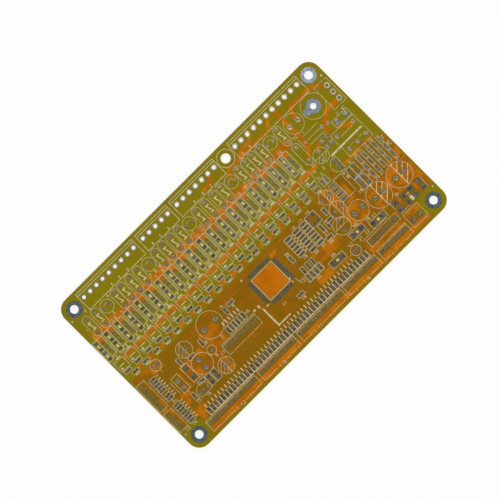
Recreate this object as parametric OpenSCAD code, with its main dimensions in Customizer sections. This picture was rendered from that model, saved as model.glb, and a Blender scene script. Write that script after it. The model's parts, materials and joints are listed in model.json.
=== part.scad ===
// Bare circuit board of a multi-channel power controller: glass-fibre laminate, etched copper,
// solder mask, tinned lands, plated holes and printed legend. No component is fitted.
// The underside of the lower mask is z = 0, the board is centred on the origin, the long side is X,
// and the output sockets stand along the +Y edge.

/* [Board] */
// Length of the board, along the socket edge
board_l = 162; // [162:1:200]
// Width of the board
board_w = 92; // [92:1:110]
// Radius of the four corners
corner_r = 6; // [2:0.5:9]
// Thickness of the glass-fibre laminate
laminate_t = 1.4; // [0.6:0.1:3.2]
// Thickness of the copper foil on each face
copper_t = 0.07; // [0.03:0.01:0.14]
// Thickness of the solder mask where it lies over copper
mask_t = 0.03; // [0.02:0.01:0.06]
// Thickness of the tin on the lands
tin_t = 0.02; // [0.01:0.005:0.02]
// Thickness of the printed legend
ink_t = 0.02; // [0.01:0.01:0.05]
// Wall of the copper plating in a hole
plating_t = 0.05; // [0.03:0.01:0.08]
// Gap between a land and the edge of its mask opening
mask_gap = 0.1; // [0.05:0.05:0.15]
// Bare laminate left between a pour and a land of another net
isolation = 0.35; // [0.25:0.05:0.5]

/* [Mounting] */
// Distance between mounting holes along the board
mount_pitch_x = 150; // [148:0.5:150]
// Distance between mounting holes across the board
mount_pitch_y = 80; // [79:0.5:80]
// Finished bore of a mounting hole
mount_d = 4; // [3.2:0.1:4.5]
// Tinned land round a mounting hole
mount_land_d = 7.6; // [6:0.1:7.6]
// Bore of the plain hole that locates the board
locate_d = 4.6; // [4:0.1:5]
// Place of the locating hole from the board's centre line
locate_x = 21.8; // [21:0.1:22.4]

/* [Output sockets] */
// Pitch of the pins of the output sockets
socket_pitch = 3.96; // [3.5:0.01:3.96]
// Finished bore of a socket pin's hole
socket_bore = 1.7; // [1.4:0.1:2]
// Land round a socket pin's hole
socket_land = 2.8; // [2.5:0.1:3]
// Distance of the socket pins from the board's long edge
socket_edge = 5.2; // [4.8:0.1:6]
// Depth of a socket's printed outline
socket_body = 9.3; // [8.5:0.1:9.6]

/* [Headers] */
// Pitch of the pins of the signal headers
header_pitch = 2.5; // [2.3:0.01:2.54]
// Finished bore of a header pin's hole
header_bore = 1; // [0.8:0.1:1.2]
// Land round a header pin's hole
header_land = 1.75; // [1.5:0.05:1.9]
// Distance of the lower header row from the board's long edge
header_edge = 6; // [5.5:0.1:6.5]
// Depth of a header's printed outline
header_body = 5.8; // [5:0.1:6]

/* [Channels] */
// Pitch of the power channels along the board
channel_pitch = 6.58; // [6.3:0.01:6.6]
// Number of power channels
channel_count = 19; // [12:1:19]
// Width of a copper land under a channel's diode
channel_land_w = 1.7; // [1.4:0.1:1.9]
// Length of a copper land under a channel's diode
channel_land_l = 1.3; // [1:0.1:1.5]
// Width of the supply rail that feeds the channels
supply_rail_w = 3.3; // [2.5:0.1:3.4]
// Width of the rail that feeds the drivers
driver_rail_w = 2.1; // [1.5:0.1:2.3]

/* [Controller] */
// Distance across the controller's land rows, outer edge to outer edge
controller_span = 17.8; // [17:0.1:18]
// Number of lands on each side of the controller
controller_pins = 25; // [20:1:25]
// Pitch of the controller's lands
controller_pitch = 0.5; // [0.45:0.01:0.52]
// Width of one of the controller's lands
controller_land_w = 0.28; // [0.2:0.01:0.3]
// Length of one of the controller's lands
controller_land_l = 1.9; // [1.5:0.1:2]
// Side of the copper square under the controller
controller_pour = 11.6; // [9:0.1:12]

/* [Tracks and legend] */
// Width of a signal track
track_w = 0.18; // [0.12:0.01:0.2]
// Pitch of parallel signal tracks
track_pitch = 0.36; // [0.32:0.01:0.36]
// Width of a heavy current track
heavy_w = 2; // [1.5:0.1:2.2]
// Width of a printed line
ink_w = 0.2; // [0.15:0.05:0.35]

/* [Hidden] */
$fn = 48;
EPS = 0.01;

// Colours
LAMINATE = [0.72, 0.66, 0.30];
MASK = [0.54, 0.49, 0.03, 0.62];
COPPER = [0.82, 0.42, 0.08];
TIN = [0.44, 0.49, 0.48];
BRIGHT_TIN = [0.62, 0.68, 0.72];
INK = [0.90, 0.87, 0.68];

// Levels, from the underside up
core_z0 = mask_t + copper_t;
core_z1 = core_z0 + laminate_t;
copper_z1 = core_z1 + copper_t;
mask_z1 = copper_z1 + mask_t;

// Lines that the rows of parts are set out from
top_edge = board_w / 2;
low_edge = -board_w / 2;
left_edge = -board_l / 2;
right_edge = board_l / 2;
socket_y = top_edge - socket_edge;
header_y = low_edge + header_edge;

// The layout is set out for a board of 162 by 92: a longer or wider board spreads it to its edges.
spare_x = (board_l - 162) / 2;
spare_y = (board_w - 92) / 2;
function up(y) = y + spare_y;
function down(y) = y - spare_y;

// ---- Plated pins, each [x, y, bore, land] ----
function pin_row(x, y, n, pitch, bore, land) = [for (i = [0:n - 1]) [x + i * pitch, y, bore, land]];
function pin_column(x, y, n, pitch, bore, land) = [for (i = [0:n - 1]) [x, y - i * pitch, bore, land]];

// First pin and number of pins of each output socket and each lower header
socket_rows = [[-68, 9], [-30.3, 5], [-8.6, 7], [28.6, 11]];
header_rows = [[-67.5, 12], [-35, 9], [-9.9, 11], [19.5, 8], [42, 7]];
function socket_pins(s) =
    pin_row(socket_rows[s][0], socket_y, socket_rows[s][1], socket_pitch, socket_bore, socket_land);
all_sockets = concat(socket_pins(0), socket_pins(1), socket_pins(2), socket_pins(3));
power_header = [62.5, 2];
power_bore = 1.4;
power_land = 2.5;
upper_row_gap = 6.4;
lower_header_pins = concat(
    [for (h = header_rows) each pin_row(h[0], header_y, h[1], header_pitch, header_bore, header_land)],
    pin_row(header_rows[4][0], header_y + upper_row_gap, header_rows[4][1], header_pitch, header_bore,
            header_land),
    pin_row(power_header[0], header_y, power_header[1], socket_pitch, power_bore, power_land));

side_header_edge = 2.4;
side_header_x = left_edge + side_header_edge;
side_headers = [[-6.5, 6], [-24.2, 4]];
side_header_pins = [for (h = side_headers)
    each pin_column(side_header_x, down(h[0]), h[1], header_pitch, header_bore, header_land)];
service_header = [-37.9, -21, 8];
service_header_pins = pin_row(service_header[0], down(service_header[1]), service_header[2],
                              header_pitch, header_bore, header_land);

// Fuse discs between the sockets and the channels, one pin above the other
fuse_x = [-74.6, -69.2, -57, -52.6, -47.6, -42.5, -31, -26.3, -21.3, -16.4, -4.7, 0.7, 6, 10.8,
          21.9, 26.6, 31.1, 35.7, 47];
fuse_top = 33;
fuse_span = 8;
fuse_bore = 1;
fuse_land = 1.9;
// One more disc stands alone, lower than the row
lone_fuse = [47.7, 20.7];
function fuse_pair(x, top) = [for (k = [0, 1]) [x, up(top - k * fuse_span), fuse_bore, fuse_land]];
fuse_pins = concat([for (x = fuse_x) each fuse_pair(x, fuse_top)], fuse_pair(lone_fuse[0], lone_fuse[1]));

// Channels: a column of two land pairs, and a transistor's three pins beside it
channel_x0 = -79.2;
function channel_x(i) = channel_x0 + i * channel_pitch;
channel_land_y = [21.9, 18.3, 16.3, 12.7];
channel_pin_dx = 2.8;
channel_pin_y = [20.2, 17.65, 15.1];
channel_bore = 0.8;
channel_land = 1.5;
channel_pins = [for (i = [0:channel_count - 1], y = channel_pin_y)
    [channel_x(i) + channel_pin_dx, up(y), channel_bore, channel_land]];

// Round parts, each [x, y, radius, pin offset x, pin offset y, direction of the hatched half]
PLAIN = -1;
round_parts = [
    [-66.8, -3.9, 2.6, 1.27, 0, PLAIN], [-52.7, -8, 3.9, 1.27, 0, 180],
    [-51.2, -18.3, 5, 0, 2.4, PLAIN], [-44.1, -26.5, 3.9, 1.27, 0, 180],
    [-36.5, -8.3, 6.4, 3.6, 0, PLAIN], [34.1, -31.2, 2.5, 1.2, 0, PLAIN],
    [37.5, -18.9, 4.2, 0.3, 2, 90], [41.4, -4.75, 3.4, 1.9, 0, 0],
    [41.4, -12.4, 4, 2, 0, 0], [47.8, -19.2, 4.8, 2.5, 0, PLAIN],
    [59.3, -20.9, 6.1, 2.4, 0, 0], [72.3, -20.9, 6.1, 2.4, 0, 0],
    [53.3, 10.3, 3.7, 0.4, 2, 270], [54.8, 29.3, 4.8, 2.5, 0, PLAIN]
];
round_bore = 0.9;
round_land = 1.9;
// The widest round parts have larger pins, and more bare laminate round them
wide_part_r = 4.8;
wide_bore = 1.1;
wide_land = 2.6;
wide_isolation = 0.6;
function is_wide(p) = p[2] >= wide_part_r;
function part_y(p) = p[1] < 0 ? down(p[1]) : up(p[1]);
function part_pins(p) = [for (s = [-1, 1])
    [p[0] + s * p[3], part_y(p) + s * p[4], is_wide(p) ? wide_bore : round_bore,
     is_wide(p) ? wide_land : round_land]];
round_part_pins = [for (p = round_parts) each part_pins(p)];
wide_pins = [for (p = round_parts) if (is_wide(p)) each part_pins(p)];
round_links = [-63.4, -36.7, -10.7, 16.2, 41];
round_link_y = 30.6;
round_link_r = 3.2;
round_link_dx = 1.7;
round_link_land = 1.6;
round_link_pins = [for (x = round_links, s = [-1, 1])
    [x + s * round_link_dx, up(round_link_y), round_bore, round_link_land]];

// The relay's contacts and coil, the pins beside it, and the end of the heavy track to the first channels
relay_spots = [[64.6, 11.1], [74.6, 11.1], [64.6, 3.2], [69.7, 3.2], [74.7, 3.2]];
relay_bore = 1.3;
relay_land = 2.2;
relay_side_spots = [[62.7, 19.3], [65.9, 18.5], [75.7, 18.5]];
relay_side_bore = 1;
relay_side_land = 1.9;
track_end_spot = [52.36, 19.4];
track_end_bore = 0.7;
track_end_land = 1.3;
relay_pins = concat(
    [for (p = relay_spots) [p[0], up(p[1]), relay_bore, relay_land]],
    [for (p = relay_side_spots) [p[0], up(p[1]), relay_side_bore, relay_side_land]],
    [[track_end_spot[0], up(track_end_spot[1]), track_end_bore, track_end_land]]);
inlet_edge = 3.4;
inlet_top = 30.9;
inlet_count = 3;
inlet_bore = 1.5;
inlet_land = 2.8;
inlet_pins = pin_column(right_edge - inlet_edge, up(inlet_top), inlet_count, socket_pitch, inlet_bore,
                        inlet_land);
// Small pins of the logic section, and a pair of wide ones
test_spots = [[-43.9, -16.9], [-61.2, -27.3], [-59, -27.3], [-56.8, -27.3]];
test_bore = 0.9;
test_land = 1.7;
wide_test_spots = [[-64.8, -16.2], [-64.8, -20.2]];
wide_test_bore = 1.3;
wide_test_land = 2.4;
test_pins = concat(
    [for (p = test_spots) [p[0], down(p[1]), test_bore, test_land]],
    [for (p = wide_test_spots) [p[0], down(p[1]), wide_test_bore, wide_test_land]]);

mount_spots = [for (sx = [-1, 1], sy = [-1, 1]) [sx * mount_pitch_x / 2, sy * mount_pitch_y / 2]];
mount_pins = [for (p = mount_spots) [p[0], p[1], mount_d, mount_land_d]];
locate_edge = 6.1;
locate_at = [locate_x, top_edge - locate_edge];
locate_ring_r = 4.2;
earth_spot = [66.6, 28.6];
earth_bore = 2.9;
earth_land_r = 3.5;
earth_lobe = [-3.8, 1.8];
// Bare marks near the corners that a placing machine finds the board by
fiducial_spots = [[left_edge + 1.4, up(36.6)], [right_edge - 2.1, up(35.9)],
                  [left_edge + 1.7, down(-35.7)], [right_edge - 1.8, down(-35.2)]];
fiducial_d = 1;
fiducial_gap = 0.25;

// ---- Surface lands, each [x, y, size x, size y] ----
channel_lands = [for (i = [0:channel_count - 1], y = channel_land_y)
    [channel_x(i), up(y), channel_land_w, channel_land_l]];

// Gate resistors: a run of twelve from the left, then a run of seven from over the controller
gate_y = 0.7;
gate_runs = [[-75, 12], [1.5, 7]];
gate_x = [for (r = gate_runs) each [for (i = [0:r[1] - 1]) r[0] + i * channel_pitch]];
gate_land = [1.1, 1];
gate_span = 1.8;
gate_resistor_lands = [for (x = gate_x, s = [-1, 1])
    [x + s * gate_span / 2, up(gate_y), gate_land[0], gate_land[1]]];

controller = [-2.9, down(-13.7)];
controller_reach = (controller_span - controller_land_l) / 2;
function controller_step(i) = (i - (controller_pins - 1) / 2) * controller_pitch;
controller_lands = [for (i = [0:controller_pins - 1], s = [-1, 1]) each [
    [controller[0] + s * controller_reach, controller[1] + controller_step(i), controller_land_l,
     controller_land_w],
    [controller[0] + controller_step(i), controller[1] + s * controller_reach, controller_land_w,
     controller_land_l]]];

// A row of upright resistors over the lower headers
header_resistors = 48;
header_resistor_pitch = 2.12;
header_resistor_x0 = -63.8;
header_resistor_y = -35.8;
header_resistor_span = 1.65;
header_resistor_land = [1.15, 1.25];
function header_resistor_x(i) = header_resistor_x0 + i * header_resistor_pitch;
header_resistor_lands = [for (i = [0:header_resistors - 1], s = [-1, 1])
    [header_resistor_x(i), down(header_resistor_y + s * header_resistor_span / 2),
     header_resistor_land[0], header_resistor_land[1]]];

// Arrays of resistors at the left, each [first y, rows, pitch, row left empty]
arrays = [[-7.7, 8, 1.62, 5], [-23.2, 7, 1.62, -1]];
array_x = -72.6 - spare_x;
array_half_w = 1.8;

// Chips, each [x, y, upright]: small two-land parts of the logic and power sections
lower_chips = concat(
    [for (a = arrays, k = [0:a[1] - 1]) if (k != a[3]) [array_x, a[0] - a[2] * k, 0]],
    [for (k = [0:5]) [-32.1 + 1.86 * k, -16, 1]],
    [[-22.9, -7.8, 0], [-26.9, -9, 1], [-44.9, -11.4, 1], [2.4, -27.7, 0], [10.6, -13.5, 1],
     [13.9, -21, 1], [16.8, -21, 1], [10.9, -21, 1], [-58.2, -10.6, 1], [-52.6, -12.7, 0],
     [-57.2, -23.6, 0], [-64.2, -26.4, 1], [36.6, -8.9, 1], [30.2, -13.2, 1], [33.3, -14, 1],
     [29.9, -18.4, 0], [35.3, -12.8, 0]],
    [for (x = [15.7, 21, 25.4], k = [0:5]) [x, -6 - 1.82 * k, 0]],
    [for (x = [21, 25.4]) [x, -17.2, 0]],
    [for (k = [0:3]) [10.4 + 2.3 * k, -24.9, 1]],
    [for (x = [64.2, 67.4, 70.6, 73.8, 77], k = [0:2]) [x, -3.3 - 4.2 * k, 1]],
    [for (k = [0:3]) [47.3, -3 - 2.6 * k, 0]]);
upper_chips = concat(
    [for (i = [0:channel_count - 1]) [channel_x(i) + 1.9, 3.3, 0]],
    [[45.2, 1.1, 1], [47.5, 1.1, 1]]);
chip_span = 1.65;
chip_land = [1.25, 0.95];
function chip_pair(x, y, upright) = [for (s = [-1, 1]) upright == 1
    ? [x, y + s * chip_span / 2, chip_land[1], chip_land[0]]
    : [x + s * chip_span / 2, y, chip_land[0], chip_land[1]]];
lower_chip_lands = [for (c = lower_chips) each chip_pair(c[0], down(c[1]), c[2])];
upper_chip_lands = [for (c = upper_chips) each chip_pair(c[0], up(c[1]), c[2])];

// Large lands of the power section, and the coil and transistor lands of the logic section
large_lands = concat(
    [for (p = [[22.9, -28.5], [27.3, -28.5], [38.1, -25.6], [42.9, -25.7], [48.7, -28.3], [53.8, -28.5]])
        [p[0], down(p[1]), 2.6, 2.6]],
    [for (x = [61.7, 66.7, 71.2, 76.3], y = [-28.8, -32.5]) [x, down(y), 2.6, 2.1]],
    [for (x = [28.9, 31.9], y = [-5.8, -9.5]) [x, down(y), 1.8, 1.6]],
    [for (x = [57.3, 60.2], y = [-3, -7.3, -9.8, -13.2]) [x, down(y), 1.8, 1.5]],
    [for (x = [-53.6, -50.2], y = [-24.6, -27.4]) [x, down(y), 1.9, 1.7]],
    [for (y = [-14.5, -19.7]) [-58.2, down(y), 2, 2.2]],
    [for (x = [69.3, 74.5]) [x, up(15.8), 2.4, 2.5]],
    [for (x = [58.1, 60.9], y = [14.9, 11.1]) [x, up(y), 1.5, 2.3]],
    [for (y = [4.6, 2.3, 0]) [56, up(y), 1.9, 1.4]]);

all_pins = concat(
    all_sockets, lower_header_pins, side_header_pins, service_header_pins, fuse_pins, channel_pins,
    round_part_pins, round_link_pins, relay_pins, inlet_pins, test_pins);
all_lands = concat(channel_lands, gate_resistor_lands, header_resistor_lands, lower_chip_lands,
                   upper_chip_lands, large_lands);
// The pins or lands of a list whose centres lie within a box
function within(list, x0, y0, x1, y1) =
    [for (p = list) if (p[0] > x0 && p[0] < x1 && p[1] > y0 && p[1] < y1) p];

// ---- Routes of the tracks ----
function unit(v) = v / norm(v);
function left_of(v) = [-v[1], v[0]];
// The point beside corner i of a route, at distance d to its left, on the corner's mitre
function beside(route, i, d) =
    let (into = unit(i == 0 ? route[1] - route[0] : route[i] - route[i - 1]),
         out = i == len(route) - 1 ? into : unit(route[i + 1] - route[i]),
         mitre = unit(left_of(into) + left_of(out)))
    route[i] + mitre * d / (mitre * left_of(into));
// A route without its repeated points
function tidy(route) =
    [for (i = [0:len(route) - 1]) if (i == 0 || norm(route[i] - route[i - 1]) > EPS) route[i]];
// A route from a to b that runs along Y, then along X at level y, then along Y, with 45 degree bends
function comb_y(a, b, y, bend = 0.5) =
    let (c = min(bend, abs(b[0] - a[0]) / 2), sx = sign(b[0] - a[0]), sa = sign(y - a[1]),
         sb = sign(b[1] - y))
    tidy([a, [a[0], y - sa * c], [a[0] + sx * c, y], [b[0] - sx * c, y], [b[0], y + sb * c], b]);
// A route from a to b that runs along X, then along Y at x, then along X at level y, then along Y
function comb_x(a, x, y, b, bend = 0.5) =
    tidy([a, [x + bend, a[1]], [x, a[1] - bend], [x, y + bend], [x - bend, y], [b[0] + bend, y],
          [b[0], y - bend], b]);

controller_edge = controller_span / 2;
gate_foot_y = up(gate_y) - gate_land[1] / 2;
resistor_head_y = down(header_resistor_y) + header_resistor_span / 2 + header_resistor_land[1] / 2;
resistor_foot_y = down(header_resistor_y) - header_resistor_span / 2 - header_resistor_land[1] / 2;
function top_pin(i) = [controller[0] + controller_step(i), controller[1] + controller_edge];
function low_pin(i) = [controller[0] + controller_step(i), controller[1] - controller_edge];
function left_pin(j) = [controller[0] - controller_edge, controller[1] + controller_step(j)];
function right_pin(j) = [controller[0] + controller_edge, controller[1] + controller_step(j)];

// From the controller's upper lands to the gate resistors: nine to the left, six to the right
fine_bend = 0.3;
comb_foot = 0.45;
first_gate = 2;
left_gates = 9;
last_gate = 17;
right_gates = 6;
gate_routes = concat(
    [for (i = [0:left_gates - 1])
        comb_y(top_pin(i), [gate_x[first_gate + i] - gate_span / 2, gate_foot_y],
               top_pin(0)[1] + comb_foot + i * track_pitch, fine_bend)],
    [for (k = [0:right_gates - 1])
        comb_y(top_pin(controller_pins - 1 - k),
               [gate_x[last_gate - k] + gate_span / 2, gate_foot_y],
               top_pin(0)[1] + comb_foot + k * track_pitch, fine_bend)]);

// From the controller's left and lower lands to the resistors over the headers
left_bundle = 12;
left_bundle_x = controller[0] - controller_edge - 0.8;
left_bundle_y = down(-28.9);
first_left_resistor = 22;
fan_left = 4;
fan_right = 9;
fan_left_y = down(-29.5);
fan_right_y = down(-28.7);
resistor_routes = concat(
    [for (j = [0:left_bundle - 1])
        comb_x(left_pin(j), left_bundle_x - j * track_pitch, left_bundle_y + j * track_pitch,
               [header_resistor_x(first_left_resistor - j), resistor_head_y], fine_bend)],
    [for (i = [0:fan_left - 1])
        comb_y(low_pin(i), [header_resistor_x(first_left_resistor + 1 + i), resistor_head_y],
               fan_left_y - i * track_pitch)],
    [for (k = [0:fan_right - 1])
        comb_y(low_pin(fan_left + k),
               [header_resistor_x(first_left_resistor + 1 + fan_left + k), resistor_head_y],
               fan_right_y - (fan_right - 1 - k) * track_pitch)]);

// From the controller to the upright resistors on its left and the columns of chips on its right
upright_chips = [for (c = lower_chips) if (c[1] == -16 && c[2] == 1) c];
upright_head = down(-16) + chip_span / 2 + chip_land[0] / 2;
chip_rows = 4;
chip_routes = concat(
    [for (k = [0:len(upright_chips) - 1])
        let (y = left_pin(left_bundle + k)[1], x = upright_chips[len(upright_chips) - 1 - k][0])
        [left_pin(left_bundle + k), [x + fine_bend, y], [x, y - fine_bend], [x, upright_head]]],
    [for (k = [0:chip_rows - 1])
        let (a = right_pin(controller_pins - 1 - 2 * k),
             b = [15.7 - chip_span / 2 - chip_land[0] / 2, down(-6 - 1.82 * k)],
             x = a[0] + 1.2 + 0.5 * abs(chip_rows / 2 - k))
        tidy([a, [x, a[1]], [x + abs(b[1] - a[1]), b[1]], b])]);

// Long runs from the controller's left to vias, and short ones from its lower and right lands
long_runs = 5;
long_run_y = down(-5.2);
via_bore = 0.35;
via_land = 0.75;
via_step = 1.1;
via_reach = [1.1, 1.2];
via_drop = 0.65;
long_end_x = -43.6;
long_routes = [for (k = [0:long_runs - 1])
    let (a = left_pin(controller_pins - 1 - k), y = long_run_y - k * track_pitch,
         rise = y - a[1], end_x = long_end_x - (long_runs - 1 - k) * via_step)
    [a, [a[0] - 0.5 - 0.14 * k, a[1]], [a[0] - 0.5 - 0.14 * k - rise, y],
     [end_x, y], [end_x - via_drop, y - via_drop]]];
stub_first = fan_left + fan_right + 1;
stub_routes = concat(
    [for (i = [stub_first:controller_pins - 1])
        [low_pin(i), low_pin(i) - [0, via_reach[1] + via_step * (i % 3)]]],
    [for (j = [1:controller_pins - 2 * chip_rows - 3])
        [right_pin(j), right_pin(j) + [via_reach[0] + via_step * (j % 3), 0]]]);
via_pins = [for (r = concat(long_routes, stub_routes))
    let (end = r[len(r) - 1]) [end[0], end[1], via_bore, via_land]];

// From each lower header's pins to the nearest resistor above
function nearest_resistor(x) =
    header_resistor_x(min(header_resistors - 1,
                          max(0, round((x - header_resistor_x0) / header_resistor_pitch))));
header_routes = [for (p = lower_header_pins)
    let (x = nearest_resistor(p[0]), dx = abs(x - p[0]), y = p[1] + p[3] / 2)
    if (p[1] == header_y && dx < header_resistor_pitch / 2)
        tidy([[p[0], y], [p[0], y + 0.15], [x, y + 0.15 + dx], [x, resistor_foot_y]])];

// Heavy tracks from the sockets and the inlet, each a list of [x, y] in the upper half
heavy_routes = [
    [[52.36, 39.5], [52.36, 17.36], [47.7, 12.7]],
    [[57.3, 30.1], [57.3, 33.8], [59, 35.5], [72.4, 35.5], [76.6, 31.3]],
    [[76.3, 23], [69.3, 23], [66.4, 20.1], [64.9, 20.1], [63.9, 19.1], [63.9, 16.7], [62.2, 15]],
    [[69.3, 15.8], [69.3, 12.8], [71, 11.1], [74.6, 11.1]]
];
feed_routes = [
    [[36.52, 39.6], [34.6, 37.7], [29.2, 37.7], [26.8, 35.3]],
    [[48.4, 39.6], [44.1, 35.3], [19.4, 35.3], [17.9, 33.8], [17.9, 30.6]],
    [[11.2, 39.6], [8.4, 36.8], [3.6, 36.8]],
    [[57.6, 14.9], [55.9, 14.9], [53.7, 12.7]]
];
feed_w = 1.6;

// ---- Flat shapes ----
module place(spots) {
    for (p = spots) translate([p[0], p[1]]) children();
}
module board_outline() {
    corners = [for (sx = [-1, 1], sy = [-1, 1])
        [sx * (board_l / 2 - corner_r), sy * (board_w / 2 - corner_r)]];
    square([board_l - 2 * corner_r, board_w], center = true);
    square([board_l, board_w - 2 * corner_r], center = true);
    place(corners) circle(r = corner_r);
}
module pin_shapes(pins, grow = 0) {
    for (p = pins) translate([p[0], p[1]]) circle(d = p[3] + 2 * grow);
}
module land_shapes(lands, grow = 0) {
    for (l = lands) translate([l[0], l[1]]) square([l[2] + 2 * grow, l[3] + 2 * grow], center = true);
}
module track(route, w) {
    n = len(route);
    polygon(concat([for (i = [0:n - 1]) beside(route, i, w / 2)],
                   [for (i = [n - 1:-1:0]) beside(route, i, -w / 2)]));
}
module stadium(l, w) {
    square([l - w, w], center = true);
    place([[-(l - w) / 2, 0], [(l - w) / 2, 0]]) circle(d = w);
}
module earth_shape(grow = 0) {
    translate(earth_at) {
        circle(r = earth_land_r + grow);
        translate([earth_lobe[0] / 2, 0])
            square([-earth_lobe[0], 2 * (earth_lobe[1] + grow)], center = true);
        translate([earth_lobe[0], 0]) circle(r = earth_lobe[1] + grow);
    }
}
earth_at = [earth_spot[0], up(earth_spot[1])];

// ---- Printed shapes ----
module box_line(x0, y0, x1, y1) {
    translate([(x0 + x1) / 2, (y0 + y1) / 2]) difference() {
        square([x1 - x0 + ink_w, y1 - y0 + ink_w], center = true);
        square([x1 - x0 - ink_w, y1 - y0 - ink_w], center = true);
    }
}
module bar(x0, y0, x1, y1) {
    translate([x0, y0]) square([x1 - x0, y1 - y0]);
}
module line_x(x0, x1, y) {
    bar(x0, y - ink_w / 2, x1, y + ink_w / 2);
}
module line_y(x, y0, y1) {
    bar(x - ink_w / 2, y0, x + ink_w / 2, y1);
}
module ring_line(r) {
    difference() {
        circle(r = r + ink_w / 2);
        circle(r = r - ink_w / 2);
    }
}
module stadium_line(l, w) {
    difference() {
        stadium(l + ink_w, w + ink_w);
        stadium(l - ink_w, w - ink_w);
    }
}
// Plain numerals drawn as strokes, each on a grid 0.6 wide and 1 high, and a dash after the nine
NUMERALS = [
    [[[0.35, 1], [0.2, 1], [0, 0.8], [0, 0.2], [0.2, 0], [0.35, 0]],
     [[0.25, 0], [0.4, 0], [0.6, 0.2], [0.6, 0.8], [0.4, 1], [0.25, 1]]],
    [[[0.1, 0.75], [0.35, 1], [0.35, 0]]],
    [[[0, 0.8], [0.2, 1], [0.4, 1], [0.6, 0.8], [0.6, 0.6], [0, 0], [0.6, 0]]],
    [[[0, 0.85], [0.15, 1], [0.45, 1], [0.6, 0.85], [0.6, 0.65], [0.45, 0.5], [0.2, 0.5]],
     [[0.35, 0.5], [0.45, 0.5], [0.6, 0.35], [0.6, 0.15], [0.45, 0], [0.15, 0], [0, 0.15]]],
    [[[0.45, 0], [0.45, 1], [0, 0.3], [0.35, 0.3]], [[0.25, 0.3], [0.65, 0.3]]],
    [[[0.55, 1], [0, 1], [0, 0.55], [0.4, 0.55], [0.6, 0.4], [0.6, 0.2], [0.4, 0], [0, 0]]],
    [[[0.55, 1], [0.25, 1], [0, 0.75], [0, 0.2], [0.2, 0], [0.35, 0]],
     [[0.25, 0], [0.4, 0], [0.6, 0.2], [0.6, 0.4], [0.45, 0.55], [0, 0.55]]],
    [[[0, 1], [0.6, 1], [0.2, 0]]],
    [[[0.35, 1], [0.15, 1], [0, 0.85], [0, 0.65], [0.15, 0.5], [0, 0.35], [0, 0.15], [0.15, 0], [0.35, 0]],
     [[0.25, 0], [0.45, 0], [0.6, 0.15], [0.6, 0.35], [0.45, 0.5], [0.6, 0.65], [0.6, 0.85],
      [0.45, 1], [0.25, 1]], [[0.1, 0.5], [0.5, 0.5]]],
    [[[0.05, 0], [0.35, 0], [0.6, 0.25], [0.6, 0.8], [0.4, 1], [0.25, 1]],
     [[0.35, 1], [0.2, 1], [0, 0.8], [0, 0.6], [0.15, 0.45], [0.6, 0.45]]],
    [[[0.1, 0.5], [0.5, 0.5]]]
];
DASH = 10;
numeral_pitch = 0.95;
function digits_of(n) = n < 10 ? [n] : concat(digits_of(floor(n / 10)), [n % 10]);
module number(digits, h) {
    for (i = [0:len(digits) - 1])
        translate([((i - (len(digits) - 1) / 2) * numeral_pitch - 0.3) * h, -h / 2])
            for (stroke = NUMERALS[digits[i]]) track(stroke * h, ink_w);
}
// A diode's sign: a triangle that points at a bar
module diode_mark() {
    polygon([[-0.7, -0.75], [0.7, -0.75], [0, 0.35]]);
    bar(-0.7, 0.3, 0.7, 0.6);
}
// Outline of a two-land chip
module chip_line(c) {
    rotate(c[2] * 90) {
        l = chip_span + chip_land[0] + 0.9;
        w = chip_land[1] + 0.75;
        box_line(-l / 2, -w / 2, l / 2, w / 2);
    }
}
// A line across a round part and slanting lines over the half that faces the angle, clear of its pins
module hatch(r, angle, pins) {
    pitch = 0.4 * r;
    w = r < wide_part_r ? ink_w : 2 * ink_w;
    n = floor(2 * r / pitch);
    difference() {
        intersection() {
            circle(r = r);
            union() {
                rotate(angle) square([w, 2 * r], center = true);
                intersection() {
                    rotate(angle) translate([0, -r]) square([r, 2 * r]);
                    for (i = [-n:n])
                        rotate(45) translate([0, (i + 0.5) * pitch]) square([3 * r, w], center = true);
                }
            }
        }
        pin_shapes(pins, mask_gap);
    }
}
module round_part_print(p) {
    at = [p[0], part_y(p)];
    translate(at) {
        ring_line(p[2]);
        if (p[5] != PLAIN)
            hatch(p[2], p[5], [for (q = part_pins(p)) [q[0] - at[0], q[1] - at[1], q[2], q[3]]]);
    }
}

// ---- Solid layers ----
// Copper on the upper face, and on the underside
module foil() {
    translate([0, 0, core_z1]) linear_extrude(copper_t) children();
}
module low_foil() {
    translate([0, 0, mask_t]) linear_extrude(copper_t) children();
}
module tinned(lands) {
    color(TIN) translate([0, 0, core_z1]) linear_extrude(copper_t + tin_t) land_shapes(lands);
}
module print_ink() {
    color(INK) translate([0, 0, mask_z1]) linear_extrude(ink_t) children();
}
// Plated hole: a tube through the laminate with a land on each face, under its coat of tin
module barrel(bore, land, coat = tin_t) {
    wall = bore / 2 + plating_t;
    low = mask_t - coat;
    high = copper_z1 + coat;
    rotate_extrude() polygon([
        [bore / 2, low], [land / 2, low], [land / 2, core_z0], [wall, core_z0],
        [wall, core_z1], [land / 2, core_z1], [land / 2, high], [bore / 2, high]]);
}
module barrels(pins, finish = TIN, coat = tin_t) {
    color(finish) for (p = pins) translate([p[0], p[1]]) barrel(p[2], p[3], coat);
}

// ---- Laminate and mask ----
module laminate() {
    color(LAMINATE) translate([0, 0, core_z0]) linear_extrude(laminate_t) difference() {
        board_outline();
        for (p = concat(all_pins, mount_pins, via_pins))
            translate([p[0], p[1]]) circle(d = p[2] + 2 * plating_t);
        translate(earth_at) circle(d = earth_bore + 2 * plating_t);
        translate(locate_at) circle(d = locate_d);
    }
}
module pin_openings() {
    pin_shapes(concat(all_pins, mount_pins), mask_gap);
    place(via_pins) circle(d = via_bore);
    earth_shape(mask_gap);
    translate(locate_at) circle(d = locate_d);
}
module fiducial_shapes(grow = 0) {
    place(fiducial_spots) circle(d = fiducial_d + 2 * grow);
}
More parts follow.
